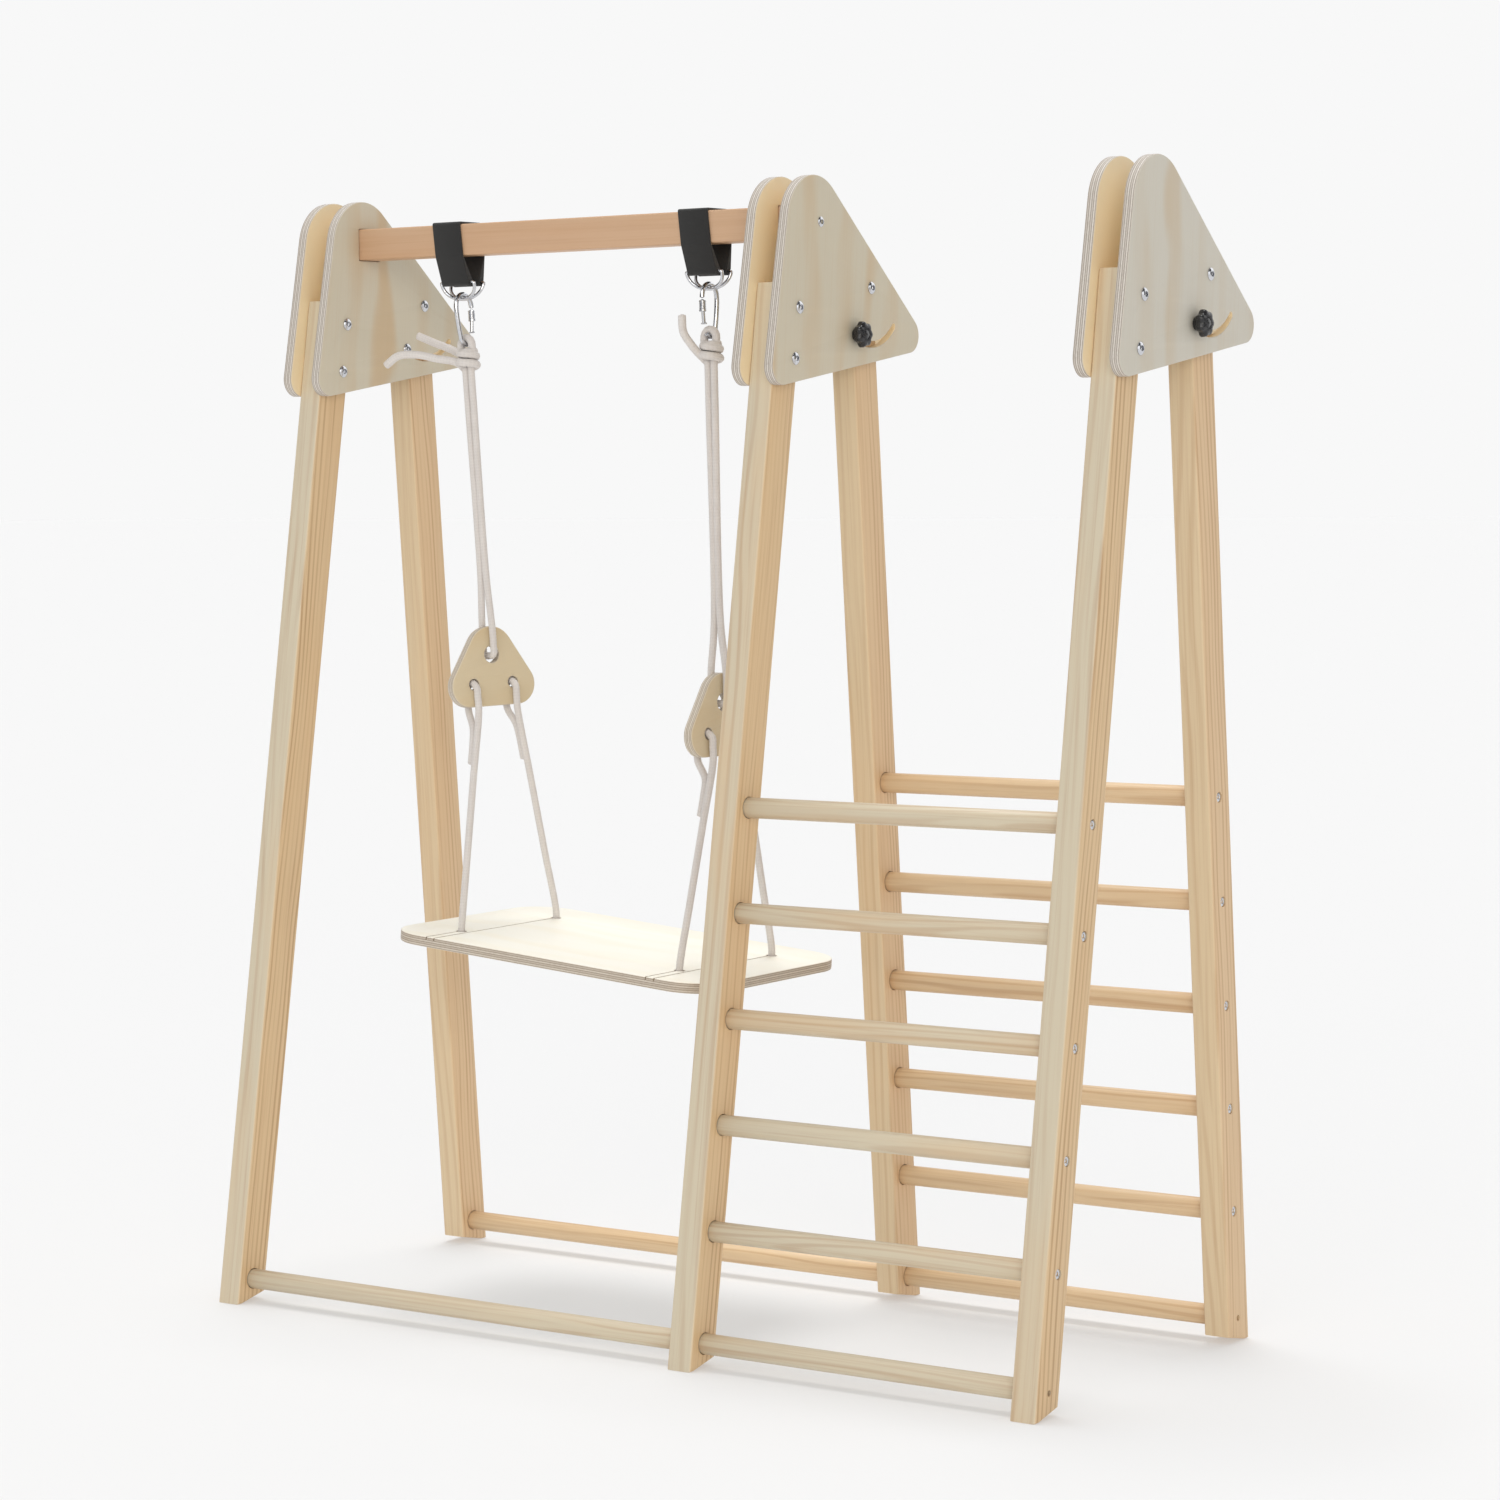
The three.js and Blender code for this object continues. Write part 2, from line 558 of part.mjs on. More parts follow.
const TAILS = {
  side: [
    [[0, -4, -94], [-40, -14, -88], [-90, -26, -80], [-140, -30, -92]],
    [[0, 4, -96], [-40, 10, -86], [-80, 12, -74], [-105, 6, -66]],
  ],
  up: [[[0, -4, -100], [-16, -22, -88], [-24, -34, -66], [-22, -36, -42]]],
};
function makeKnot(side, group) {
  const ball = new THREE.SphereGeometry(1, 12, 8);
  ball.scale(KNOT_R, KNOT_R - 2, KNOT_R + 1);
  ball.translate(0, 0, -KNOT_DROP);
  const reach = ROPE_R + CARABINER_R + 1.5;
  const bottom = -CARABINER_LENGTH + 2 * CARABINER_R;
  const loop = ropeAlong(
    Array.from({ length: 9 }, (_, i) => {
      const angle = -0.4 * Math.PI + (1.8 * Math.PI * i) / 8;
      return [reach * Math.cos(angle), 0, bottom + reach * Math.sin(angle)];
    }),
    ROPE_R, 8, 2,
  );
  const tails = TAILS[side.tails].map((points) => ropeAlong(points, ROPE_R, 8, 3));
  const room = new THREE.CylinderGeometry(CARABINER_R + 0.6, CARABINER_R + 0.6, 60, 10);
  room.translate(0, 0, bottom);
  place(`${side.name}_knot`, cut(join([ball, loop, ...tails]), [room]), COTTON, group);
}

// Spreader plate: a small rounded triangle that hangs on the doubled rope and spreads the two lower runs.
function makeSpreader(side, group, topDrop) {
  const { halfWidth, height, apex, cornerR, apexR, topHole, topHoleR, lowHole, lowHoleR, holeY } = SPREADER;
  const outline = roundedPolygon([
    [-halfWidth, -height, cornerR],
    [halfWidth, -height, cornerR],
    [0, apex, apexR],
  ]);
  const body = slabX(outline, -PLY / 2, PLY / 2);
  const tools = [rodX(-PLY, PLY, [0, -topHole], topHoleR)];
  for (const way of [-1, 1]) tools.push(rodX(-PLY, PLY, [(way * holeY) / 2, -lowHole], lowHoleR));
  const plate = cut(body, tools);
  plate.rotateZ(THREE.MathUtils.degToRad(-side.turn));
  plate.translate(0, 0, -topDrop);
  place(`${side.name}_spreader`, plate, PLYWOOD, group);
}

// ---- seat ----
const SEAT_TILT = Math.atan2(SIDES[0].seatZ - SIDES[1].seatZ, SIDES[1].seatX - SIDES[0].seatX);
const SEAT_CENTRE = new THREE.Vector3(
  (SIDES[0].seatX + SIDES[1].seatX) / 2, BAR_Y, (SIDES[0].seatZ + SIDES[1].seatZ) / 2,
);
// A point of the seat board, given along it, across it and above its middle plane.
const onSeat = (x, y, z) =>
  new THREE.Vector3(x, y, z).applyAxisAngle(new THREE.Vector3(0, 1, 0), SEAT_TILT).add(SEAT_CENTRE);
// end and row are -1 or +1: left or right end, front or rear hole. The two holes of an end are staggered.
const seatHole = (end, row) => [(end * SEAT.holeX) / 2 + row * SEAT.stagger, (row * SEAT.holeY) / 2];

function makeSeat() {
  const { length, depth, corner, holeR, kerf, kerfDepth } = SEAT;
  const [hx, hy] = [length / 2, depth / 2];
  const outline = roundedPolygon([
    [-hx, -hy, corner],
    [hx, -hy, corner],
    [hx, hy, corner],
    [-hx, hy, corner],
  ]);
  const board = new THREE.ExtrudeGeometry(outline, { depth: PLY, bevelEnabled: false, curveSegments: 4 });
  board.translate(0, 0, -PLY / 2);
  const tools = [];
  for (const end of [-1, 1]) {
    for (const row of [-1, 1]) {
      const [x, y] = seatHole(end, row);
      const hole = new THREE.CylinderGeometry(holeR, holeR, PLY * 2, 14);
      hole.rotateX(Math.PI / 2);
      tools.push(hole.translate(x, y, 0));
      const run = y + hy + 1;
      const saw = new THREE.BoxGeometry(kerf, run, 2 * kerfDepth);
      tools.push(saw.translate(x, y - run / 2, PLY / 2));
    }
  }
  const seat = place("seat", cut(board, tools), PLYWOOD);
  seat.position.copy(SEAT_CENTRE);
  seat.rotation.y = SEAT_TILT;
}

// One rope per side: looped through the front hole of the spreader, down, under the seat and up again.
function makeLowerRope(side, group, topDrop) {
  const turn = THREE.MathUtils.degToRad(-side.turn);
  const atSpreader = (row, out, down) => {
    const [n, y] = [out, (row * SPREADER.holeY) / 2];
    const local = new THREE.Vector3(
      n * Math.cos(turn) - y * Math.sin(turn), n * Math.sin(turn) + y * Math.cos(turn),
      -topDrop - SPREADER.lowHole - down,
    );
    return local.applyEuler(group.rotation).add(group.position);
  };
  const proud = PLY / 2 + ROPE_R + 1.6;
  const under = -PLY / 2 - ROPE_R - 1.6;
  const half = (row) => {
    const [x, y] = seatHole(side.end, row);
    const arrive = onSeat(x, y, PLY / 2 + 8);
    const leave = atSpreader(row, proud, 38);
    // The rope's end, laid against the strand that comes down from the spreader.
    const tail = [[118, 0], [88, 0], [64, 4]].map(([down, apart]) =>
      leave.clone().lerp(arrive, (down - 38) / leave.distanceTo(arrive))
        .add(new THREE.Vector3(-2 * ROPE_R - 0.8 - apart, 0, 0)),
    );
    return [
      ...tail,
      atSpreader(row, -proud, 38),
      atSpreader(row, -proud, 18),
      atSpreader(row, -proud + 1, 5),
      atSpreader(row, 0, -2),
      atSpreader(row, proud - 1, 5),
      atSpreader(row, proud, 18),
      leave,
      leave.clone().lerp(arrive, 0.3),
      leave.clone().lerp(arrive, 0.7),
      arrive,
      onSeat(x, y, 0),
      onSeat(x, y - row * 1.5, under + 3),
      onSeat(x - row * 1, y - row * 12, under),
      onSeat(x - row * 4, y - row * 50, under),
    ];
  };
  const points = [...half(-1), ...half(1).reverse()].map((p) => p.toArray());
  place(`${side.name}_lower_rope`, ropeAlong(points, ROPE_R, 8, 2), COTTON);
}

for (const side of SIDES) {
  makeStrap(`${side.name}_strap`, side.strapX);
  makeRing(`${side.name}_front_ring`, side.strapX, -1);
  makeRing(`${side.name}_rear_ring`, side.strapX, 1);
  const group = hanger(side);
  const topDrop = (HANG_Z - side.spreaderTop) / Math.cos(group.rotation.y);
  makeCarabiner(side, group);
  makeKnot(side, group);
  makeUpperRope(side, group, topDrop + SPREADER.topHole - BRIDGE_RISE);
  makeSpreader(side, group, topDrop);
  makeLowerRope(side, group, topDrop);
}
makeSeat();

export default set;
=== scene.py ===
"""Looks of the wooden swing and climbing frame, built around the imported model. Metres, +Z up."""
import json
import math

import bmesh
import bpy
import numpy as np
from mathutils import Matrix, Vector


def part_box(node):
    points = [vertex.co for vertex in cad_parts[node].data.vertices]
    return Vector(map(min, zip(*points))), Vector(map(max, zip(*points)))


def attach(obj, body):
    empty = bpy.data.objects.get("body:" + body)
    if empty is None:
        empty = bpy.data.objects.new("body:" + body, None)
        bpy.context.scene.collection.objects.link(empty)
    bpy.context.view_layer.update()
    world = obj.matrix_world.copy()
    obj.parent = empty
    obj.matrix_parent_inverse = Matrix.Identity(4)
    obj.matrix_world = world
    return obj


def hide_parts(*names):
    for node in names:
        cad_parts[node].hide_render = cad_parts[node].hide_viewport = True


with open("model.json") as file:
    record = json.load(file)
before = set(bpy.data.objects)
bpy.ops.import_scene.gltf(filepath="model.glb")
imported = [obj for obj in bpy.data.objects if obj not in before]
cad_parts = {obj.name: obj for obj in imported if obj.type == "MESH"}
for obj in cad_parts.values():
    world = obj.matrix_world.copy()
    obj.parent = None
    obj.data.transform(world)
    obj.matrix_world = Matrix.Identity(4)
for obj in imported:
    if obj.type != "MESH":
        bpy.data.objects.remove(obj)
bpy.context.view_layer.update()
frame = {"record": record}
JOINTS = {joint["name"]: joint for joint in frame["record"]["behaviour"]["joints"]}

# ---- driving dimensions, as in the part ----
FRAMES = ("left", "middle", "right")
LEG_WIDTH = 0.058
LEG_EDGE = 0.003
HALF_DEPTH = 0.287
TILT = {"front": math.radians(9.5), "rear": math.radians(4)}
SIGN = {"front": -1, "rear": 1}
LENGTH = {"front": 1.460, "rear": 1.480}
FOOT_LAND = 0.010
FOOT_RISE = math.radians(12)
BOLT_STATIONS = (1.360, 1.430)
PLY = 0.015
PLY_EDGE = 0.0014
PLATE_CORNERS = ((-0.251, -0.141, 0.025), (0.156, -0.080, 0.025), (-0.181, 0.208, 0.068))
BOLT_R = 0.004
BOLT_GAP = 0.0003
HEAD_R = 0.0086
HEAD_H = 0.003
SLOT_R = 0.078
SLOT_FROM = math.radians(-33)
SLOT_TO = math.radians(48)
SLOT_GAP = 0.0005
KNOB_R = 0.0184
KNOB_DEPTH = 0.020
KNOB_LOBES = 7
RUNG_R = 0.014
RUNG_EDGE = 0.0012
RUNG_STATIONS = [0.182 + 0.142 * i for i in range(5)]
RUNG_SCREW_R = 0.0066
RUNG_SCREW_SINK = 0.0012
STRETCHER_STATION = 0.033
SOCKET = 0.012
BAR = 0.045
BAR_CORNER = 0.0025
BAR_GAP = 0.0006
STRAP_WIDTH = 0.050
STRAP_THICK = 0.003
STRAP_DROP = 0.038
STRAP_LEAN = 0.009
EYE_Y = 0.012
EYE_GAP = 0.0005
EYE_WALL = 0.0027
WIRE_R = 0.0025
RING_DROP = 0.024
RING_HALF = STRAP_WIDTH / 2 + 0.005
RING_MEET = 0.0032
HANG_GAP = 0.0009
CARABINER_R = 0.0035
CARABINER_LENGTH = 0.080
CARABINER_WIDTH = 0.042
GATE_FROM = 0.020
GATE_TO = 0.055
GATE_BAR_R = 0.0026
SLEEVE_DROP = 0.031
SLEEVE_R = 0.0050
SLEEVE_HALF = 0.008
ROPE_R = 0.0050
ROPE_GAP = 0.0016
SLACK_R = 0.0057
STRAND_HALF_GAP = 0.0052
KNOT_DROP = CARABINER_LENGTH + 0.014
KNOT_TOP = KNOT_DROP + 0.009
BRAID_PITCH = 0.0092
BRAID_STRANDS = 5
BRAID_RELIEF = 0.00020
SEAT = {
    "length": 0.560, "depth": 0.365, "corner": 0.062, "edge": 0.0016, "hole_x": 0.3873, "hole_y": 0.205,
    "hole_r": 0.0075, "stagger": 0.007, "kerf": 0.0024, "kerf_depth": 0.005,
}
SPREADER = {
    "half_width": 0.095, "height": 0.116, "corner": 0.030, "apex": 0.033, "apex_r": 0.038, "edge": 0.002,
    "top_hole": 0.037, "top_hole_r": 0.012, "low_hole": 0.083, "low_hole_r": 0.008, "hole_y": 0.066,
}
# The swing's two hangers. strap is the strap's X, x and z the middle of the two rope holes at the seat's end,
# top the spreader's Z, turn its turn in degrees, spine the side of the carabiner's closed back, and end the
# end of the seat: -1 is the left or front one.
SIDES = (
    {
        "name": "left", "strap": -0.456, "x": -0.390, "z": 0.526,
        "top": 0.968, "turn": 20, "spine": -1, "end": -1,
    },
    {
        "name": "right", "strap": -0.018, "x": -0.004, "z": 0.494,
        "top": 0.909, "turn": 5, "spine": 1, "end": 1,
    },
)

PIVOT = Vector(JOINTS["rear_frame_fold"]["pos_m"])
BAR_LOW, BAR_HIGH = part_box("swing_bar")
BAR_Y = (BAR_LOW.y + BAR_HIGH.y) / 2
BAR_Z = (BAR_LOW.z + BAR_HIGH.z) / 2
EYE_Z = BAR_Z - BAR / 2 - STRAP_DROP
HANG_Z = EYE_Z - RING_DROP + WIRE_R + CARABINER_R + HANG_GAP


# ---- camera, light and floor ----
CAMERA_PLACE = (3.1529, -4.4574, 1.2096)
CAMERA_YAW = 0.6060
CAMERA_PITCH = -0.0744
CAMERA_ROLL = -0.0120
CAMERA_LENS = 94.38
BACKDROP = 0.939
AMBIENT = 0.56
AMBIENT_COLOR = (0.97, 0.985, 1.0)
ROOM_COLOR = (0.8, 0.8, 0.8)
ROOM_DARK = 0.05
ROOM_BRIGHT = 1.7
FLOOR_ALBEDO = 0.50
FLOOR_HALF = 60
FLOOR_DROP = 0.0005
# Each sun's name, direction, strength, colour and spread in degrees.
SUNS = (
    ("key_sun", (0.15, -0.95, 0.45), 0.42, (1.0, 0.985, 0.96), 35),
    ("top_sun", (-0.12, 0.16, 1.0), 1.70, (1.0, 1.0, 1.0), 24),
    ("warm_sun", (0.62, -0.72, 0.22), 0.55, (1.0, 0.90, 0.76), 25),
)


def make_camera():
    forward = Vector((
        -math.sin(CAMERA_YAW) * math.cos(CAMERA_PITCH),
        math.cos(CAMERA_YAW) * math.cos(CAMERA_PITCH),
        math.sin(CAMERA_PITCH),
    ))
    level = forward.cross(Vector((0, 0, 1))).normalized()
    upright = level.cross(forward)
    right = math.cos(CAMERA_ROLL) * level + math.sin(CAMERA_ROLL) * upright
    up = right.cross(forward)
    camera = bpy.data.objects.new("camera", bpy.data.cameras.new("camera"))
    camera.data.lens = CAMERA_LENS
    camera.data.clip_end = 200
    turn = Matrix((right, up, -forward)).transposed().to_4x4()
    camera.matrix_world = Matrix.Translation(CAMERA_PLACE) @ turn
    bpy.context.scene.collection.objects.link(camera)
    bpy.context.scene.camera = camera


def make_sun(name, direction, strength, color, spread):
    light = bpy.data.lights.new(name, "SUN")
    light.energy = strength
    light.color = color
    light.angle = math.radians(spread)
    sun = bpy.data.objects.new(name, light)
    sun.rotation_euler = Vector(direction).to_track_quat("Z", "Y").to_euler()
    bpy.context.scene.collection.objects.link(sun)


def make_world():
    """A white backdrop for the camera, soft light for surfaces, and a patchy room for metal to reflect."""
    bpy.context.scene.view_settings.view_transform = "Standard"
    world = bpy.data.worlds.new("studio")
    bpy.context.scene.world = world
    world.use_nodes = True
    tree = world.node_tree
    tree.nodes.clear()

    def background(color, strength):
        node = tree.nodes.new("ShaderNodeBackground")
        node.inputs["Color"].default_value = (*color, 1)
        node.inputs["Strength"].default_value = strength
        return node

    def unless(ray, usual, special):
        """The usual light, but the special one for rays of one kind."""
        node = tree.nodes.new("ShaderNodeMixShader")
        tree.links.new(path.outputs[ray], node.inputs["Fac"])
        tree.links.new(usual, node.inputs[1])
        tree.links.new(special, node.inputs[2])
        return node.outputs[0]

    seen = background((BACKDROP, BACKDROP, BACKDROP), 1.0)
    soft = background(AMBIENT_COLOR, AMBIENT)
    room = background(ROOM_COLOR, ROOM_BRIGHT)
    place = tree.nodes.new("ShaderNodeTexCoord")
    patches = tree.nodes.new("ShaderNodeTexNoise")
    patches.inputs["Scale"].default_value = 1.7
    patches.inputs["Detail"].default_value = 1.0
    contrast = tree.nodes.new("ShaderNodeMapRange")
    contrast.interpolation_type = "SMOOTHSTEP"
    span = {"From Min": 0.42, "From Max": 0.56, "To Min": ROOM_DARK, "To Max": ROOM_BRIGHT}
    for key, number in span.items():
        contrast.inputs[key].default_value = number
    tree.links.new(place.outputs["Generated"], patches.inputs["Vector"])
    tree.links.new(patches.outputs["Fac"], contrast.inputs["Value"])
    tree.links.new(contrast.outputs["Result"], room.inputs["Strength"])
    path = tree.nodes.new("ShaderNodeLightPath")
    lighting = unless("Is Glossy Ray", soft.outputs[0], room.outputs[0])
    whole = unless("Is Camera Ray", lighting, seen.outputs[0])
    out = tree.nodes.new("ShaderNodeOutputWorld")
    tree.links.new(whole, out.inputs["Surface"])


def make_floor():
    """A pale floor that glows just enough to be as bright as the backdrop wherever nothing shades it."""
    light = AMBIENT * np.array(AMBIENT_COLOR)
    for _, direction, strength, color, _ in SUNS:
        light += strength * Vector(direction).normalized().z / math.pi * np.array(color)
    glow = np.clip(BACKDROP - FLOOR_ALBEDO * light, 0, 1)
    floor = bpy.data.objects.new("floor", bpy.data.meshes.new("floor"))
    corners = [(x * FLOOR_HALF, y * FLOOR_HALF, 0) for x, y in ((-1, -1), (1, -1), (1, 1), (-1, 1))]
    floor.data.from_pydata(corners, [], [(0, 1, 2, 3)])
    floor.location.z = -FLOOR_DROP
    bpy.context.scene.collection.objects.link(floor)
    material = bpy.data.materials.new("floor")
    material.use_nodes = True
    shader = material.node_tree.nodes["Principled BSDF"]
    shader.inputs["Base Color"].default_value = (FLOOR_ALBEDO, FLOOR_ALBEDO, FLOOR_ALBEDO, 1)
    shader.inputs["Roughness"].default_value = 1
    shader.inputs["Specular IOR Level"].default_value = 0
    shader.inputs["Emission Color"].default_value = (*glow, 1)
    shader.inputs["Emission Strength"].default_value = 1
    floor.data.materials.append(material)


# ---- shader helpers ----
class Nodes:
    """A material's node tree, with short calls to add the nodes that its look needs."""

    def __init__(self, name, roughness, metallic=0.0, specular=0.5):
        self.material = bpy.data.materials.new(name)
        self.material.use_nodes = True
        self.tree = self.material.node_tree
        self.shader = self.tree.nodes["Principled BSDF"]
        self.shader.inputs["Roughness"].default_value = roughness
        self.shader.inputs["Metallic"].default_value = metallic
        self.shader.inputs["Specular IOR Level"].default_value = specular

    def add(self, kind, settings=(), **inputs):
        node = self.tree.nodes.new(kind)
        for key, value in dict(settings).items():
            setattr(node, key, value)
        for key, value in inputs.items():
            self.feed(node.inputs[key.replace("_", " ")], value)
        return node

    def feed(self, socket, value):
        if isinstance(value, bpy.types.NodeSocket):
            self.tree.links.new(value, socket)
        else:
            socket.default_value = value

    def attribute(self, name, output="Vector"):
        return self.add("ShaderNodeAttribute", {"attribute_name": name}).outputs[output]

    def stretched(self, vector, scale):
        return self.add("ShaderNodeMapping", Vector=vector, Scale=scale).outputs["Vector"]

    def noise(self, vector, scale, detail=3.0, roughness=0.55):
        node = self.add("ShaderNodeTexNoise", Vector=vector, Scale=scale, Detail=detail, Roughness=roughness)
        return node.outputs["Fac"]

    def fleck(self, vector, scale, detail, roughness=0.55):
        """Noise with its own scale along each axis."""
        return self.noise(self.stretched(vector, scale), 1.0, detail, roughness)

    def times(self, a, b):
        return self.math("MULTIPLY", a, b)

    def math(self, operation, a, b=0.0, c=0.0):
        node = self.tree.nodes.new("ShaderNodeMath")
        node.operation = operation
        for socket, value in zip(node.inputs, (a, b, c)):
            self.feed(socket, value)
        return node.outputs[0]

    def remap(self, value, low, high, to_low=0.0, to_high=1.0):
        node = self.tree.nodes.new("ShaderNodeMapRange")
        node.interpolation_type = "SMOOTHSTEP"
        for key, number in (("From Min", low), ("From Max", high), ("To Min", to_low), ("To Max", to_high)):
            node.inputs[key].default_value = number
        self.feed(node.inputs["Value"], value)
        return node.outputs["Result"]

    def mix(self, share, a, b):
        node = self.tree.nodes.new("ShaderNodeMix")
        node.data_type = "RGBA"
        self.feed(node.inputs["Factor"], share)
        for socket, color in ((node.inputs[6], a), (node.inputs[7], b)):
            self.feed(socket, color if isinstance(color, bpy.types.NodeSocket) else (*color, 1))
        return node.outputs[2]

    def part(self, vector, axis):
        return self.add("ShaderNodeSeparateXYZ", Vector=vector).outputs[axis]

    def finish(self, color, roughness, height, distance, strength):
        """Connects the colour, the roughness if it varies, and a bump of a height in metres."""
        self.feed(self.shader.inputs["Base Color"], color)
        if roughness is not None:
            self.feed(self.shader.inputs["Roughness"], roughness)
        bump = self.add("ShaderNodeBump", Height=height, Distance=distance, Strength=strength)
        self.tree.links.new(bump.outputs["Normal"], self.shader.inputs["Normal"])
        return self.material


# ---- materials ----
WOOD_ROUGHNESS = 0.48
PLIES = 5
# Painted light: a warm bright colour that stands in for the light caught between a pair of head plates.
PAINTED_GAP_GLOW = (0.93, 0.78, 0.53)
EDGE_LIGHT = (0.72, 0.68, 0.62)
EDGE_DARK = (0.20, 0.14, 0.10)
RIB_PITCH = 0.0017
RUN_PITCH = 0.0030


def grow_rings(n, grain, period, wander, reach):
    """Growth rings as soft stripes along the grain, 0 to 1. period and wander are in metres."""
    drift = n.fleck(grain, (reach, 5.0, 5.0), 2.0)
    across = n.math("ADD", n.part(grain, "Y"), n.times(n.part(grain, "Z"), 0.6))
    moved = n.math("MULTIPLY_ADD", drift, wander, across)
    wave = n.math("SINE", n.times(moved, 2 * math.pi / period))
    return n.math("MULTIPLY_ADD", wave, 0.5, 0.5)


def wood(name, side, face, dark, period, wander, ring_share):
    """Solid wood: warmer on its sides, paler on its faces, with growth rings, streaks and fibres."""
    n = Nodes(name, WOOD_ROUGHNESS)
    grain = n.attribute("grain")
    rings = n.remap(grow_rings(n, grain, period, wander, 1.3), 0.45, 1.0)
    patches = n.fleck(grain, (1.6, 12.0, 12.0), 3.0)
    streaks = n.fleck(grain, (3.0, 260.0, 260.0), 4.0, 0.65)
    fibres = n.fleck(grain, (22.0, 1400.0, 1400.0), 2.0)
    pale = n.attribute("pale", "Fac")
    plain = n.mix(pale, side, face)
    bands = n.fleck(grain, (0.9, 75.0, 75.0), 1.0)
    share = n.remap(bands, 0.38, 0.62, ring_share * 0.12, ring_share)
    strength = n.times(n.times(rings, share), n.remap(pale, 0.0, 1.0, 1.0, 0.5))
    ringed = n.mix(strength, plain, dark)
    streaked = n.mix(n.remap(streaks, 0.45, 0.8, 0.0, 0.34), ringed, dark)
    warm = tuple(a * b for a, b in zip(side, (0.97, 0.88, 0.78)))
    color = n.mix(n.remap(patches, 0.45, 0.75, 0.0, 0.4), streaked, warm)
    gloss = n.remap(streaks, 0.2, 0.8, WOOD_ROUGHNESS - 0.08, WOOD_ROUGHNESS + 0.1)
    height = n.math("ADD", n.times(fibres, 0.5), n.times(rings, -0.35))
    return n.finish(color, gloss, height, 0.00025, 0.35)


def plywood(name, face, band, edge_light=EDGE_LIGHT, edge_dark=EDGE_DARK):
    """Veneered board: broad soft bands on its faces, thin plies along its edges, and a painted warm glow on
    the faces marked pale.
    """
    n = Nodes(name, 0.5)
    grain = n.attribute("grain")
    rings = n.remap(grow_rings(n, grain, 0.080, 0.190, 2.4), 0.25, 1.0)
    patches = n.fleck(grain, (2.0, 9.0, 9.0), 2.0)
    streaks = n.fleck(grain, (5.0, 330.0, 10.0), 4.0, 0.62)
    shade = n.times(rings, n.remap(patches, 0.35, 0.7, 0.15, 0.8))
    veneer = n.mix(n.remap(streaks, 0.45, 0.85, 0.0, 0.25), n.mix(shade, face, band), band)
    # Painted light: faces marked pale turn towards the warm glow of light caught between the plates.
    veneer = n.mix(n.times(n.attribute("pale", "Fac"), 0.85), veneer, PAINTED_GAP_GLOW)
    # Plies are counted from well below the board, so that the count is never negative.
    depth = n.math("ADD", n.times(n.part(grain, "Z"), PLIES / PLY), 50.0)
    glue = n.remap(n.math("ABSOLUTE", n.math("SUBTRACT", n.math("FRACT", depth), 0.5)), 0.28, 0.46)
    layer = n.math("PINGPONG", n.math("FLOOR", depth), 1.0)
    between = tuple((a + b) / 2 for a, b in zip(edge_light, edge_dark))
    ply = n.mix(n.times(layer, 0.5), edge_light, between)
    ply = n.mix(n.times(glue, 0.9), ply, edge_dark)
    fibres = n.fleck(grain, (300.0, 300.0, 900.0), 2.0)
    ply = n.mix(n.remap(fibres, 0.4, 0.8, 0.0, 0.3), ply, edge_dark)
    color = n.mix(n.attribute("edge", "Fac"), veneer, ply)
    height = n.math("ADD", n.times(streaks, 0.5), n.times(fibres, 0.3))
    return n.finish(color, n.remap(streaks, 0.2, 0.8, 0.42, 0.6), height, 0.0002, 0.3)


def zinc():
    """Bright plated metal, a little cloudy and scuffed."""
    n = Nodes("bright_zinc", 0.24, metallic=1.0)
    place = n.add("ShaderNodeTexCoord").outputs["Object"]
    cloud = n.noise(place, 180.0, 3.0)
    scuffs = n.fleck(place, (900.0, 900.0, 300.0), 2.0)
    color = n.mix(cloud, (0.50, 0.51, 0.54), (0.74, 0.75, 0.78))
    return n.finish(color, n.remap(scuffs, 0.3, 0.8, 0.12, 0.28), scuffs, 0.0001, 0.12)


def knob_plastic():
    """Black moulded plastic with a fine grain."""
    n = Nodes("knob_plastic", 0.22)
    grain = n.noise(n.add("ShaderNodeTexCoord").outputs["Object"], 700.0, 2.0)
    color = n.mix(grain, (0.010, 0.010, 0.011), (0.020, 0.020, 0.022))
    return n.finish(color, n.remap(grain, 0.3, 0.7, 0.18, 0.32), grain, 0.0001, 0.12)


def webbing():
    """Flat woven strap: fine ribs across, a herringbone run along, fuzz on top."""
    n = Nodes("webbing", 0.9, specular=0.2)
    lay = n.attribute("grain")
    along = n.times(n.part(lay, "X"), 2 * math.pi / RIB_PITCH)
    across = n.times(n.part(lay, "Y"), 2 * math.pi / RUN_PITCH)
    ribs = n.math("SINE", n.math("ADD", along, n.times(n.math("SINE", across), 1.6)))
    fuzz = n.fleck(lay, (2500.0, 2500.0, 2500.0), 2.0)
    weave = n.math("MULTIPLY_ADD", ribs, 0.35, n.times(fuzz, 0.6))
    color = n.mix(n.remap(weave, -0.2, 0.8), (0.013, 0.013, 0.014), (0.038, 0.038, 0.037))
    n.shader.inputs["Sheen Weight"].default_value = 0.25
    return n.finish(color, None, weave, 0.0005, 0.7)


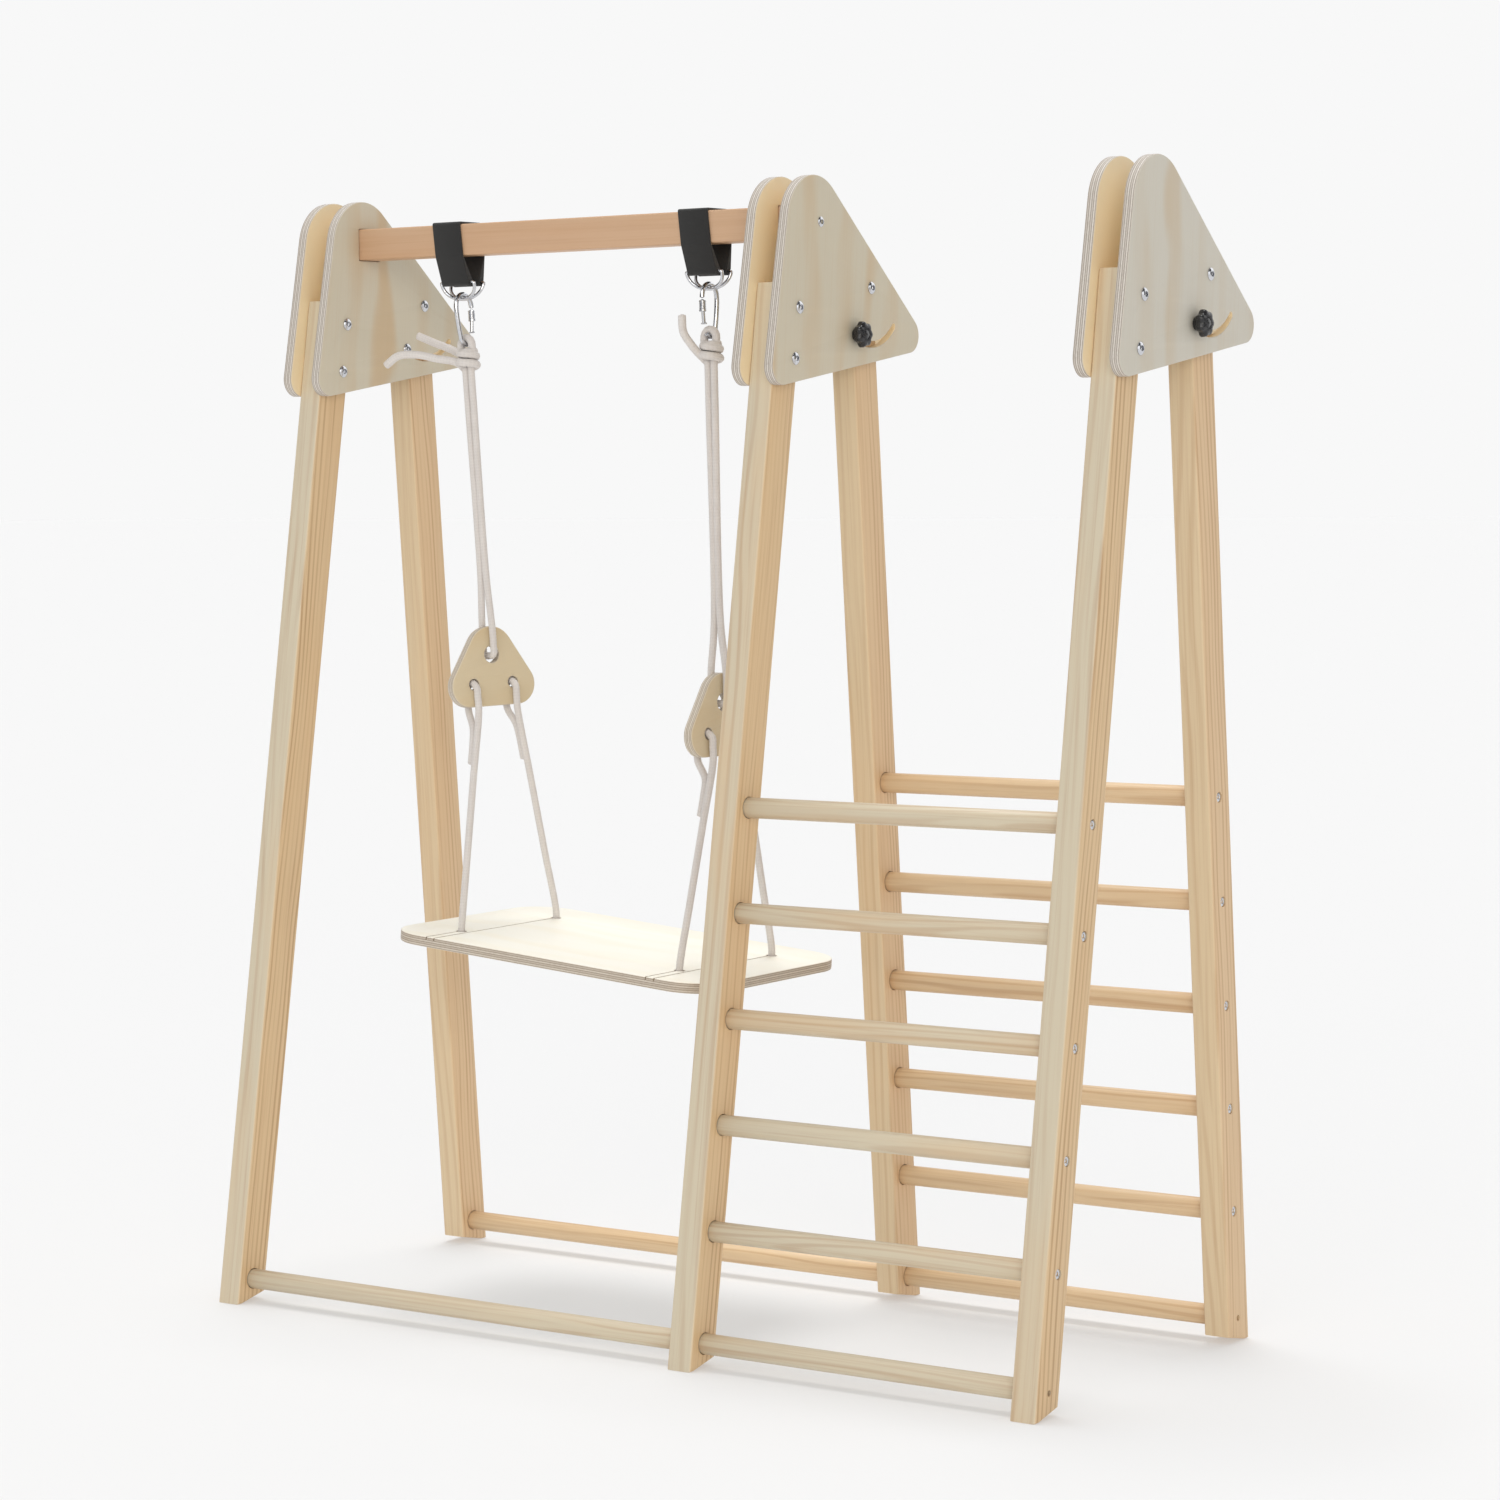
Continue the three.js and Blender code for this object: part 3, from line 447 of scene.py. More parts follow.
def cotton():
    """Soft braided rope with loose fibres: the grooves between strands get a little painted shade."""
    n = Nodes("cotton_rope", 0.88, specular=0.25)
    lay = n.attribute("grain")
    groove_shade = n.attribute("groove_shade", "Fac")
    fibres = n.fleck(lay, (500.0, 1800.0, 1800.0), 3.0)
    cloud = n.fleck(lay, (30.0, 60.0, 60.0), 2.0)
    plain = n.mix(cloud, (0.66, 0.62, 0.595), (0.78, 0.745, 0.715))
    # Painted shade: the grooves between strands are darkened.
    color = n.mix(n.times(groove_shade, 0.28), plain, (0.42, 0.385, 0.37))
    color = n.mix(n.remap(fibres, 0.5, 0.8, 0.0, 0.25), color, (0.90, 0.87, 0.84))
    n.shader.inputs["Sheen Weight"].default_value = 0.3
    return n.finish(color, None, fibres, 0.0004, 0.5)


PINE = wood(
    "pine", side=(0.75, 0.545, 0.315), face=(0.645, 0.568, 0.425), dark=(0.40, 0.205, 0.085),
    period=0.0095, wander=0.060, ring_share=0.56,
)
PINE_WARM = wood(
    "pine_warm", side=(0.75, 0.540, 0.325), face=(0.72, 0.566, 0.365), dark=(0.45, 0.240, 0.105),
    period=0.0090, wander=0.055, ring_share=0.50,
)
BEECH = wood(
    "beech", side=(0.60, 0.380, 0.228), face=(0.61, 0.400, 0.250), dark=(0.44, 0.230, 0.118),
    period=0.012, wander=0.03, ring_share=0.25,
)
HEAD_PLY = plywood("head_plywood", face=(0.625, 0.590, 0.510), band=(0.58, 0.470, 0.330))
WARM_PLY = plywood("warm_plywood", face=(0.635, 0.575, 0.450), band=(0.60, 0.440, 0.260))
SEAT_PLY = plywood(
    "seat_plywood", face=(0.93, 0.905, 0.81), band=(0.91, 0.86, 0.72),
    edge_light=(0.66, 0.60, 0.51), edge_dark=(0.24, 0.16, 0.10),
)
HONEY_PLY = plywood(
    "honey_plywood", face=(0.66, 0.555, 0.380), band=(0.62, 0.47, 0.270),
    edge_light=(0.70, 0.65, 0.57), edge_dark=(0.28, 0.20, 0.12),
)
ZINC = zinc()
KNOB = knob_plastic()
WEBBING = webbing()
COTTON = cotton()


# ---- mesh helpers ----
def put(name, mesh, material, body, nodes=(), sharp=40):
    """Adds a finished piece, whose mesh is already in its place. sharp is the angle of a hard edge."""
    mesh.shade_smooth()
    mesh.set_sharp_from_angle(angle=math.radians(sharp))
    mesh.materials.clear()
    mesh.materials.append(material)
    piece = bpy.data.objects.new(name, mesh)
    bpy.context.scene.collection.objects.link(piece)
    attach(piece, body)
    if nodes:
        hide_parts(*nodes)


def evaluated_mesh(name, thing):
    """The final mesh of an object, without the object."""
    bpy.context.scene.collection.objects.link(thing)
    bpy.context.view_layer.update()
    depsgraph = bpy.context.evaluated_depsgraph_get()
    mesh = bpy.data.meshes.new_from_object(thing.evaluated_get(depsgraph), depsgraph=depsgraph)
    mesh.name = name
    bpy.data.objects.remove(thing)
    return mesh


def points_of(mesh):
    """A mesh's points as rows of an array."""
    co = np.empty(len(mesh.vertices) * 3)
    mesh.vertices.foreach_get("co", co)
    return co.reshape(-1, 3)


def move_points(mesh, points):
    mesh.vertices.foreach_set("co", np.asarray(points, float).ravel())
    mesh.update()


def close_up(mesh, reach, sides=0):
    """Joins points within reach, fills holes of up to so many sides, and turns every face outwards."""
    work = bmesh.new()
    work.from_mesh(mesh)
    bmesh.ops.remove_doubles(work, verts=work.verts, dist=reach)
    if sides:
        bmesh.ops.holes_fill(work, edges=work.edges, sides=sides)
    bmesh.ops.recalc_face_normals(work, faces=work.faces)
    work.to_mesh(mesh)
    work.free()
    return mesh


def face_normals(mesh):
    normals = np.empty(len(mesh.polygons) * 3)
    mesh.polygons.foreach_get("normal", normals)
    return normals.reshape(-1, 3)


def set_points(mesh, name, values):
    """Gives each point its vector."""
    layer = mesh.attributes.new(name, "FLOAT_VECTOR", "POINT")
    layer.data.foreach_set("vector", values.astype(np.float32).ravel())


def set_faces(mesh, name, values):
    """Gives each face its value, or one value to all of them."""
    layer = mesh.attributes.get(name) or mesh.attributes.new(name, "FLOAT", "FACE")
    layer.data.foreach_set("value", (np.zeros(len(mesh.polygons)) + values).astype(np.float32))


def set_grain(mesh, along, across, origin=(0, 0, 0), seed=0):
    """Stores where each point lies along the grain, across it and through the thickness.

    Each face gets how much of an edge it is, and how pale it is: faces that look across the grain are pale.
    """
    a = Vector(along).normalized()
    c = a.cross(Vector(across)).normalized()
    b = c.cross(a)
    local = points_of(mesh) - np.array(origin)
    shift = np.array([0.731 * seed + 0.3, 0.127 * (seed % 11), 0.0])
    set_points(mesh, "grain", local @ np.array([a, b, c]).T + shift)
    normals = face_normals(mesh)
    set_faces(mesh, "edge", 1 - np.clip(np.abs(normals @ np.array(c)), 0, 1) ** 2)
    set_faces(mesh, "pale", np.abs(normals @ np.array(b)) ** 2)


def board(name, outline, holes, thickness, edge, resolution=3):
    """A flat board with rounded edges: outline and holes in X and Y, thickness centred on Z."""
    curve = bpy.data.curves.new(name, "CURVE")
    curve.dimensions = "2D"
    curve.fill_mode = "BOTH"
    curve.extrude = thickness / 2 - edge
    curve.bevel_depth = edge
    curve.bevel_resolution = resolution
    curve.offset = -edge
    for loop in [outline, *holes]:
        spline = curve.splines.new("POLY")
        spline.points.add(len(loop) - 1)
        for point, (x, y) in zip(spline.points, loop):
            point.co = (x, y, 0, 1)
        spline.use_cyclic_u = True
    return close_up(evaluated_mesh(name, bpy.data.objects.new(name, curve)), 1e-6)


def stand_up(mesh, x):
    """Turns a board drawn in Y and Z so that it stands across X, its middle plane at x."""
    p = points_of(mesh)
    move_points(mesh, np.column_stack([x + p[:, 2], p[:, 0], p[:, 1]]))


def arc(centre, radius, start, stop, count):
    angles = np.linspace(start, stop, count)
    return [(centre[0] + radius * math.cos(t), centre[1] + radius * math.sin(t)) for t in angles]


def circle(centre, radius, count=32):
    return arc(centre, radius, 0, 2 * math.pi * (1 - 1 / count), count)


def rounded(corners, per_corner=14):
    """A polygon with round corners, each given as (x, y, radius), anticlockwise."""
    loop = []
    for i, (x, y, radius) in enumerate(corners):
        here = Vector((x, y))
        back = (Vector(corners[i - 1][:2]) - here).normalized()
        on = (Vector(corners[(i + 1) % len(corners)][:2]) - here).normalized()
        half = math.acos(back.dot(on)) / 2
        centre = here + (back + on).normalized() * radius / math.sin(half)
        start = here + back * radius / math.tan(half) - centre
        stop = here + on * radius / math.tan(half) - centre
        a = math.atan2(start.y, start.x)
        b = math.atan2(stop.y, stop.x)
        loop += arc(centre, radius, a, b if b > a else b + 2 * math.pi, per_corner)
    return loop


def rectangle(half_x, half_y, corner, per_corner, centre=(0, 0)):
    """A rectangle with round corners, anticlockwise."""
    signs = ((-1, -1), (1, -1), (1, 1), (-1, 1))
    corners = [(centre[0] + i * half_x, centre[1] + j * half_y, corner) for i, j in signs]
    return rounded(corners, per_corner)


def turned(name, rings, sides=32):
    """A solid turned about X. Each ring is its X and its radius, a number or a function of the angle."""
    angles = np.linspace(0, 2 * math.pi, sides, endpoint=False)
    vertices = []
    faces = []
    for x, radius in rings:
        for t in angles:
            r = radius(t) if callable(radius) else radius
            vertices.append((x, r * math.cos(t), r * math.sin(t)))
    for i in range(len(rings) - 1):
        for k in range(sides):
            a = i * sides + k
            b = i * sides + (k + 1) % sides
            faces.append((a, b, b + sides, a + sides))
    mesh = bpy.data.meshes.new(name)
    mesh.from_pydata(vertices, [], faces)
    return close_up(mesh, 1e-7, sides)


def joined(name, meshes):
    """One mesh of several."""
    work = bmesh.new()
    for mesh in meshes:
        work.from_mesh(mesh)
    result = bpy.data.meshes.new(name)
    work.to_mesh(result)
    work.free()
    return result


def carve(name, mesh, cutters):
    """mesh with every cutter mesh taken away."""
    body = bpy.data.objects.new(name, mesh)
    tool = bpy.data.objects.new(name + "_tool", joined(name + "_tool", cutters))
    bpy.context.scene.collection.objects.link(tool)
    modifier = body.modifiers.new("cut", "BOOLEAN")
    modifier.operation = "DIFFERENCE"
    modifier.solver = "EXACT"
    modifier.object = tool
    result = evaluated_mesh(name, body)
    bpy.data.objects.remove(tool)
    return result


def pin(x0, x1, y, z, radius, sides=36):
    """A plain cylinder along X, to cut a hole with."""
    mesh = turned("pin", [(x0, 0), (x0, radius), (x1, radius), (x1, 0)], sides)
    mesh.transform(Matrix.Translation((0, y, z)))
    return mesh


# ---- paths and tubes ----
def smooth_path(points, step):
    """Points every step along the centripetal Catmull-Rom curve through the given points."""
    p = np.asarray(points, float)
    p = np.vstack([2 * p[0] - p[1], p, 2 * p[-1] - p[-2]])
    fine = []
    for i in range(1, len(p) - 2):
        gaps = [max(np.linalg.norm(p[i + k + 1] - p[i + k]) ** 0.5, 1e-5) for k in (-1, 0, 1)]
        before = (p[i] - p[i - 1]) / gaps[0] - (p[i + 1] - p[i - 1]) / (gaps[0] + gaps[1])
        after = (p[i + 1] - p[i]) / gaps[1] - (p[i + 2] - p[i]) / (gaps[1] + gaps[2])
        m1 = (before + (p[i + 1] - p[i]) / gaps[1]) * gaps[1]
        m2 = (after + (p[i + 2] - p[i + 1]) / gaps[2]) * gaps[1]
        for t in np.linspace(0, 1, 24, endpoint=False):
            fine.append(
                (2 * t**3 - 3 * t**2 + 1) * p[i] + (t**3 - 2 * t**2 + t) * m1
                + (-2 * t**3 + 3 * t**2) * p[i + 1] + (t**3 - t**2) * m2
            )
    fine.append(p[-2])
    fine = np.array(fine)
    run = np.concatenate([[0], np.cumsum(np.linalg.norm(np.diff(fine, axis=0), axis=1))])
    count = max(int(round(run[-1] / step)), 4)
    at = np.linspace(0, run[-1], count + 1)
    return np.column_stack([np.interp(at, run, fine[:, k]) for k in range(3)])


def path_frames(path, closed):
    """Two directions across the path at each of its points, carried along without twist."""
    if closed:
        ahead = np.roll(path, -1, axis=0) - np.roll(path, 1, axis=0)
    else:
        ahead = np.gradient(path, axis=0)
    ahead /= np.linalg.norm(ahead, axis=1)[:, None]
    start = np.cross(ahead[0], [0.31, 0.17, 0.93] if abs(ahead[0][2]) < 0.9 else [1, 0.1, 0])
    first = [start / np.linalg.norm(start)]
    for direction in ahead[1:]:
        carried = first[-1] - direction * np.dot(first[-1], direction)
        first.append(carried / np.linalg.norm(carried))
    first = np.array(first)
    return first, np.cross(ahead, first)


def tube(name, path, radius, sides, closed=False, relief=None, cap=0.0):
    """A tube along a path. relief(run, angle) adds to the radius; cap rounds its ends."""
    first, second = path_frames(path, closed)
    count = len(path)
    run = np.concatenate([[0], np.cumsum(np.linalg.norm(np.diff(path, axis=0), axis=1))])
    angles = np.linspace(0, 2 * math.pi, sides, endpoint=False)
    grid_run, grid_angle = np.meshgrid(run, angles, indexing="ij")
    bulge = relief(grid_run, grid_angle) if relief else np.zeros_like(grid_run)
    r = radius + bulge
    if cap and not closed:
        near = np.minimum(run, run[-1] - run)
        r = r * np.sqrt(np.clip(1 - (1 - np.clip(near / cap, 0, 1)) ** 2, 0.12, 1))[:, None]
    place = path[:, None, :] + r[..., None] * (
        np.cos(grid_angle)[..., None] * first[:, None, :] + np.sin(grid_angle)[..., None] * second[:, None, :]
    )
    faces = []
    for i in range(count if closed else count - 1):
        j = (i + 1) % count
        for k in range(sides):
            m = (k + 1) % sides
            faces.append((i * sides + k, i * sides + m, j * sides + m, j * sides + k))
    if not closed:
        faces.append(tuple(range(sides))[::-1])
        faces.append(tuple((count - 1) * sides + k for k in range(sides)))
    mesh = bpy.data.meshes.new(name)
    mesh.from_pydata(place.reshape(-1, 3).tolist(), [], faces)
    set_points(mesh, "grain", np.stack([grid_run, grid_angle * radius, np.zeros_like(grid_run)], -1))
    # How deep each point lies in the braid's grooves, which the rope's colour darkens as painted shade.
    depth = np.clip(-bulge / max(np.abs(bulge).max(), 1e-9), 0, 1)
    layer = mesh.attributes.new("groove_shade", "FLOAT", "POINT")
    layer.data.foreach_set("value", depth.astype(np.float32).ravel())
    return mesh


def braid(run, angle):
    """The low lumps of a braided rope."""
    turn = 2 * math.pi * run / BRAID_PITCH
    lumps = np.cos(BRAID_STRANDS * angle + turn) * np.cos(BRAID_STRANDS * angle - turn) * 2
    return BRAID_RELIEF * (lumps - 0.3)


def rope(name, runs, node, radius=ROPE_R):
    """A braided rope piece of one or more runs, each a list of points."""
    step = 0.0016
    meshes = [tube(name, smooth_path(run, step), radius, 20, relief=braid, cap=0.0022) for run in runs]
    put(name, joined(name, meshes), COTTON, "swing", [node], sharp=80)


# ---- legs, rungs and stretchers ----
FOOT_HALF = {row: LEG_WIDTH / 2 / math.cos(TILT[row]) for row in TILT}


def leg_point(row, station, offset=0.0):
    """Y and Z of a point of a leg: along it from the floor, and across it towards the rear."""
    lean = -SIGN[row] * TILT[row]
    foot = SIGN[row] * (HALF_DEPTH - FOOT_HALF[row])
    return (
        foot + math.sin(lean) * station + math.cos(lean) * offset,
        math.cos(lean) * station - math.sin(lean) * offset,
    )


def leg_outline(row):
    """A leg's side view in Y and Z: square at the top, and cut at the foot for a wider stance."""
    side = SIGN[row]
    across = 2 * FOOT_HALF[row] - FOOT_LAND
    rise = across * math.tan(FOOT_RISE) / (1 + math.tan(FOOT_RISE) * math.tan(TILT[row]))
    land = side * (HALF_DEPTH - FOOT_LAND)
    points = [
        (side * HALF_DEPTH, 0),
        (land, 0),
        (land - side * (across - rise * math.tan(TILT[row])), rise),
        leg_point(row, LENGTH[row], -side * LEG_WIDTH / 2),
        leg_point(row, LENGTH[row], side * LEG_WIDTH / 2),
    ]
    return points if side < 0 else points[::-1]


# The faces of each frame's legs that have sockets: -1 is the left face and 1 the right one.
SOCKET_FACES = {
    "left": {"rungs": (), "stretchers": (1,)},
    "middle": {"rungs": (1,), "stretchers": (-1, 1)},
    "right": {"rungs": (-1,), "stretchers": (-1,)},
}
BODY = {"front": "front_frame", "rear": "rear_frame"}
WOOD = {"front": PINE, "rear": PINE_WARM}
SOCKET_SPARE = 0.001
SOCKET_GAP = 0.0009
CUT_PAST = 0.004
COUNTERSINK = 0.0022
COUNTERSINK_GAP = 0.0007
FOOT_HOLE_R = 0.0042
FOOT_HOLE_DEPTH = 0.012


def leg_cuts(which, row, left, right):
    """Cutters for a leg's sockets, and for the screws and the plain hole in the right frame's outer faces."""
    cuts = []
    for kind, stations in (("rungs", RUNG_STATIONS), ("stretchers", [STRETCHER_STATION])):
        for face in SOCKET_FACES[which][kind]:
            surface = right if face > 0 else left
            ends = sorted((surface - face * (SOCKET + SOCKET_SPARE), surface + face * CUT_PAST))
            for station in stations:
                cuts.append(pin(*ends, *leg_point(row, station), RUNG_R + SOCKET_GAP))
    if which == "right":
        past = right + CUT_PAST
        radius = RUNG_SCREW_R + COUNTERSINK_GAP
        for station in RUNG_STATIONS:
            cuts.append(pin(right - COUNTERSINK, past, *leg_point(row, station), radius, 24))
        foot = leg_point(row, STRETCHER_STATION)
        cuts.append(pin(right - FOOT_HOLE_DEPTH, past, *foot, FOOT_HOLE_R, 24))
    return cuts


def make_leg(which, row, seed):
    name = f"{which}_{row}_leg"
    low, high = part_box(name)
    mesh = board(name, leg_outline(row), [], high.x - low.x, LEG_EDGE)
    stand_up(mesh, (low.x + high.x) / 2)
    mesh = carve(name, mesh, leg_cuts(which, row, low.x, high.x))
    along = Vector((0, *leg_point(row, 1))) - Vector((0, *leg_point(row, 0)))
    set_grain(mesh, along, (0, along.z, -along.y), seed=seed)
    put(name + "_wood", mesh, WOOD[row], BODY[row], [name], sharp=28)


def make_dowel(node, row, seed):
    low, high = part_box(node)
    centre = ((low.y + high.y) / 2, (low.z + high.z) / 2)
    profile = [
        (low.x, 0), (low.x, RUNG_R - RUNG_EDGE), (low.x + RUNG_EDGE, RUNG_R),
        (high.x - RUNG_EDGE, RUNG_R), (high.x, RUNG_R - RUNG_EDGE), (high.x, 0),
    ]
    mesh = turned(node, profile, 48)
    mesh.transform(Matrix.Translation((0, *centre)))
    set_grain(mesh, (1, 0, 0), (0, 1, 0), (0, *centre), seed)
    set_faces(mesh, "pale", 1.0 if row == "front" else 0.35)
    put(node + "_wood", mesh, WOOD[row], BODY[row], [node], sharp=60)


def make_rung_screw(name, x, y, z, body):
    """A countersunk head with a cross recess, seen from +X."""
    radius = RUNG_SCREW_R
    arm = 0.62 * radius
    slim = 0.17 * radius

    def cross(t):
        return min(arm, slim / max(min(abs(math.sin(t)), abs(math.cos(t))), 0.05))

    rings = [
        (x - 0.004, 0), (x - 0.004, radius * 0.5), (x - 0.0006, radius), (x - 0.0002, radius * 0.95),
        (x, radius * 0.8), (x, cross), (x - 0.0016, lambda t: cross(t) * 0.75), (x - 0.0018, 0),
    ]
    mesh = turned(name, rings, 48)
    mesh.transform(Matrix.Translation((0, y, z)) @ Matrix.Rotation(0.4, 4, "X"))
    put(name, mesh, ZINC, body, sharp=32)


def make_rung_screws(row):
    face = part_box(f"right_{row}_leg")[1].x - RUNG_SCREW_SINK
    for i, station in enumerate(RUNG_STATIONS):
        make_rung_screw(f"{row}_rung_screw_{i + 1}", face, *leg_point(row, station), BODY[row])


# ---- head plates ----
FRAME_X = {which: sum(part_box(f"{which}_front_leg"), Vector()).x / 2 for which in FRAMES}
BAR_PLATES = ("left_inner_plate", "middle_inner_plate")
PLATE_GRAIN = Vector((0, 0.10, 1))


def slot_point(angle):
    return PIVOT.y + SLOT_R * math.sin(angle), PIVOT.z - SLOT_R * math.cos(angle)


def slot_outline():
    """The arc slot about the pivot, with round ends."""
    half = BOLT_R + SLOT_GAP
    middle = (PIVOT.y, PIVOT.z)
    start = SLOT_FROM - math.pi / 2
    stop = SLOT_TO - math.pi / 2
    slot = arc(middle, SLOT_R + half, start, stop, 28)
    slot += arc(slot_point(SLOT_TO), half, stop, stop + math.pi, 10)[1:-1]
    slot += arc(middle, SLOT_R - half, stop, start, 28)
    slot += arc(slot_point(SLOT_FROM), half, start + math.pi, start + 2 * math.pi, 10)[1:-1]
    return slot


def plate_holes(node):
    centres = [leg_point("front", station) for station in BOLT_STATIONS] + [(PIVOT.y, PIVOT.z)]
    holes = [circle(centre, BOLT_R + BOLT_GAP) for centre in centres]
    holes.append(slot_outline())
    if node in BAR_PLATES:
        half = BAR / 2 + BAR_GAP
        holes.append(rectangle(half, half, 0.001, 3, (BAR_Y, BAR_Z)))
    return holes


def paint_slot_glow(mesh):
    """The slot's walls get the painted warm glow of light seen through the slot, without the dark plies of
    the outer edge.
    """
    for face in mesh.polygons:
        y = face.center.y - PIVOT.y
        z = face.center.z - PIVOT.z
        if abs(face.normal.x) < 0.5 and abs(math.hypot(y, z) - SLOT_R) < 2 * BOLT_R and z < 0:
            mesh.attributes["pale"].data[face.index].value = 1.0
            mesh.attributes["edge"].data[face.index].value = 0.0


def make_plate(node, seed):
    low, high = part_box(node)
    middle = (low.x + high.x) / 2
    outline = rounded([(PIVOT.y + y, PIVOT.z + z, radius) for y, z, radius in PLATE_CORNERS], 24)
    mesh = board(node, outline, plate_holes(node), high.x - low.x, PLY_EDGE)
    stand_up(mesh, middle)
    set_grain(mesh, PLATE_GRAIN, (0, PLATE_GRAIN.z, -PLATE_GRAIN.y), (middle, 0, 0), seed)
    inward = -1 if middle > FRAME_X[node.split("_")[0]] else 1
    # Faces that look inwards, into the gap between the pair of plates, are marked for the painted glow of
    # light caught in the gap.
    set_faces(mesh, "pale", np.clip(face_normals(mesh)[:, 0] * inward, 0, 1) ** 4)
    paint_slot_glow(mesh)
    veneer = HEAD_PLY if node.startswith("right") else WARM_PLY
    put(node + "_board", mesh, veneer, "front_frame", [node])


# ---- fixings ----
HEX_SOCKET = 0.0026
HEX_DEPTH = 0.0024
BAR_SCREW_HEAD_R = 0.007
BAR_SCREW_HEAD_H = 0.002
BAR_SCREW_R = 0.003
BAR_SCREW_POINT = 0.004


def hexagon(size):
    """Radius of a hexagon of the given half width, by angle."""
    return lambda t: size / math.cos((t + math.pi / 6) % (math.pi / 3) - math.pi / 6)


def dome_head(seat, out, radius=HEAD_R, height=HEAD_H):
    """Rings of a domed head with a hexagon socket, from its seat's X outwards. out is +1 or -1."""
    profile = [(0, radius), (0.25, radius), (0.62, radius * 0.88), (0.9, radius * 0.66), (1.0, radius * 0.48)]
    rings = [(seat + out * height * up, r) for up, r in profile]
    rings.append((seat + out * height, hexagon(HEX_SOCKET)))
    rings.append((seat + out * (height - HEX_DEPTH), hexagon(HEX_SOCKET * 0.96)))
    rings.append((seat + out * (height - HEX_DEPTH - 0.0002), 0))
    return rings


def make_bolt(node):
    """A bolt with a domed head at each end, through both plates and the leg."""
    low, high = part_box(node)
    left = low.x + HEAD_H
    right = high.x - HEAD_H
    rings = dome_head(left, -1)[::-1] + [(left, BOLT_R), (right, BOLT_R)] + dome_head(right, 1)
    mesh = turned(node, rings, 36)
    mesh.transform(Matrix.Translation((0, (low.y + high.y) / 2, (low.z + high.z) / 2)))
    put(node + "_metal", mesh, ZINC, "front_frame", [node])


def make_knob(which):
    """A star knob with soft lobes, on a metal stud whose round end shows at the far plate."""
    node = f"{which}_star_knob"
    body = f"{which}_knob"
    low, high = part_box(node)
    _, y, z = JOINTS[f"{which}_knob_turn"]["pos_m"]
    out = -1 if which == "left" else 1
    tip = high.x if out > 0 else low.x
    far = (low.x + HEAD_H) if out > 0 else (high.x - HEAD_H)
    plate = tip - out * KNOB_DEPTH

    def lobed(share, depth):
        wave = 0.075 * depth
        return lambda t: KNOB_R * share * (1 - wave + wave * math.cos(KNOB_LOBES * t))

    profile = [
        (0.0004, 0.0), (0.0004, 0.0085), (0.0012, 0.0092), (0.0070, 0.0100), (0.0078, lobed(0.72, 0.6)),
        (0.0082, lobed(0.90, 1)), (0.0092, lobed(0.97, 1)), (0.0110, lobed(1.0, 1)), (0.0150, lobed(0.99, 1)),
        (0.0176, lobed(0.94, 1)), (0.0190, lobed(0.85, 1)), (0.0196, lobed(0.70, 0.8)),
        (0.0198, lobed(0.46, 0.3)), (0.0198, 0.0068), (0.0192, 0.0064), (0.0192, 0.0058), (0.0199, 0.0052),
        (KNOB_DEPTH, 0.0),
    ]
    star = turned(node, [(plate + out * x, r) for x, r in profile], 112)
    inside = plate + out * 0.001
    shank = [(far, BOLT_R), (inside, BOLT_R), (inside, 0)]
    stud = turned(node + "_stud", dome_head(far, -out)[::-1] + shank, 36)
    for mesh in (star, stud):
        mesh.transform(Matrix.Translation((0, y, z)))
    put(node + "_grip", star, KNOB, body, [node], sharp=50)
    put(node + "_stud", stud, ZINC, body)


# ---- swing bar ----
def make_bar():
    outline = rectangle(BAR / 2, BAR / 2, BAR_CORNER, 5, (BAR_Y, BAR_Z))
    mesh = board("swing_bar", outline, [], BAR_HIGH.x - BAR_LOW.x, 0.001)
    stand_up(mesh, (BAR_LOW.x + BAR_HIGH.x) / 2)
    set_grain(mesh, (1, 0, 0), (0, 1, 0), (0, BAR_Y, BAR_Z), 3)
    put("swing_bar_wood", mesh, BEECH, "front_frame", ["swing_bar"])


def make_bar_screw(which, out):
    node = f"bar_{which}_screw"
    low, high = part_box(node)
    seat = (high.x - BAR_SCREW_HEAD_H) if out > 0 else (low.x + BAR_SCREW_HEAD_H)
    point = low.x if out > 0 else high.x
    shank = [(point, 0), (point + out * BAR_SCREW_POINT, BAR_SCREW_R), (seat, BAR_SCREW_R)]
    mesh = turned(node, shank + dome_head(seat, out, BAR_SCREW_HEAD_R, BAR_SCREW_HEAD_H), 36)
    mesh.transform(Matrix.Translation((0, BAR_Y, BAR_Z)))
    put(node + "_metal", mesh, ZINC, "front_frame", [node])


# ---- straps and rings ----
STRAP_CORNER = 0.004
STRAP_EDGE = 0.0007
RING_INSET = 0.003


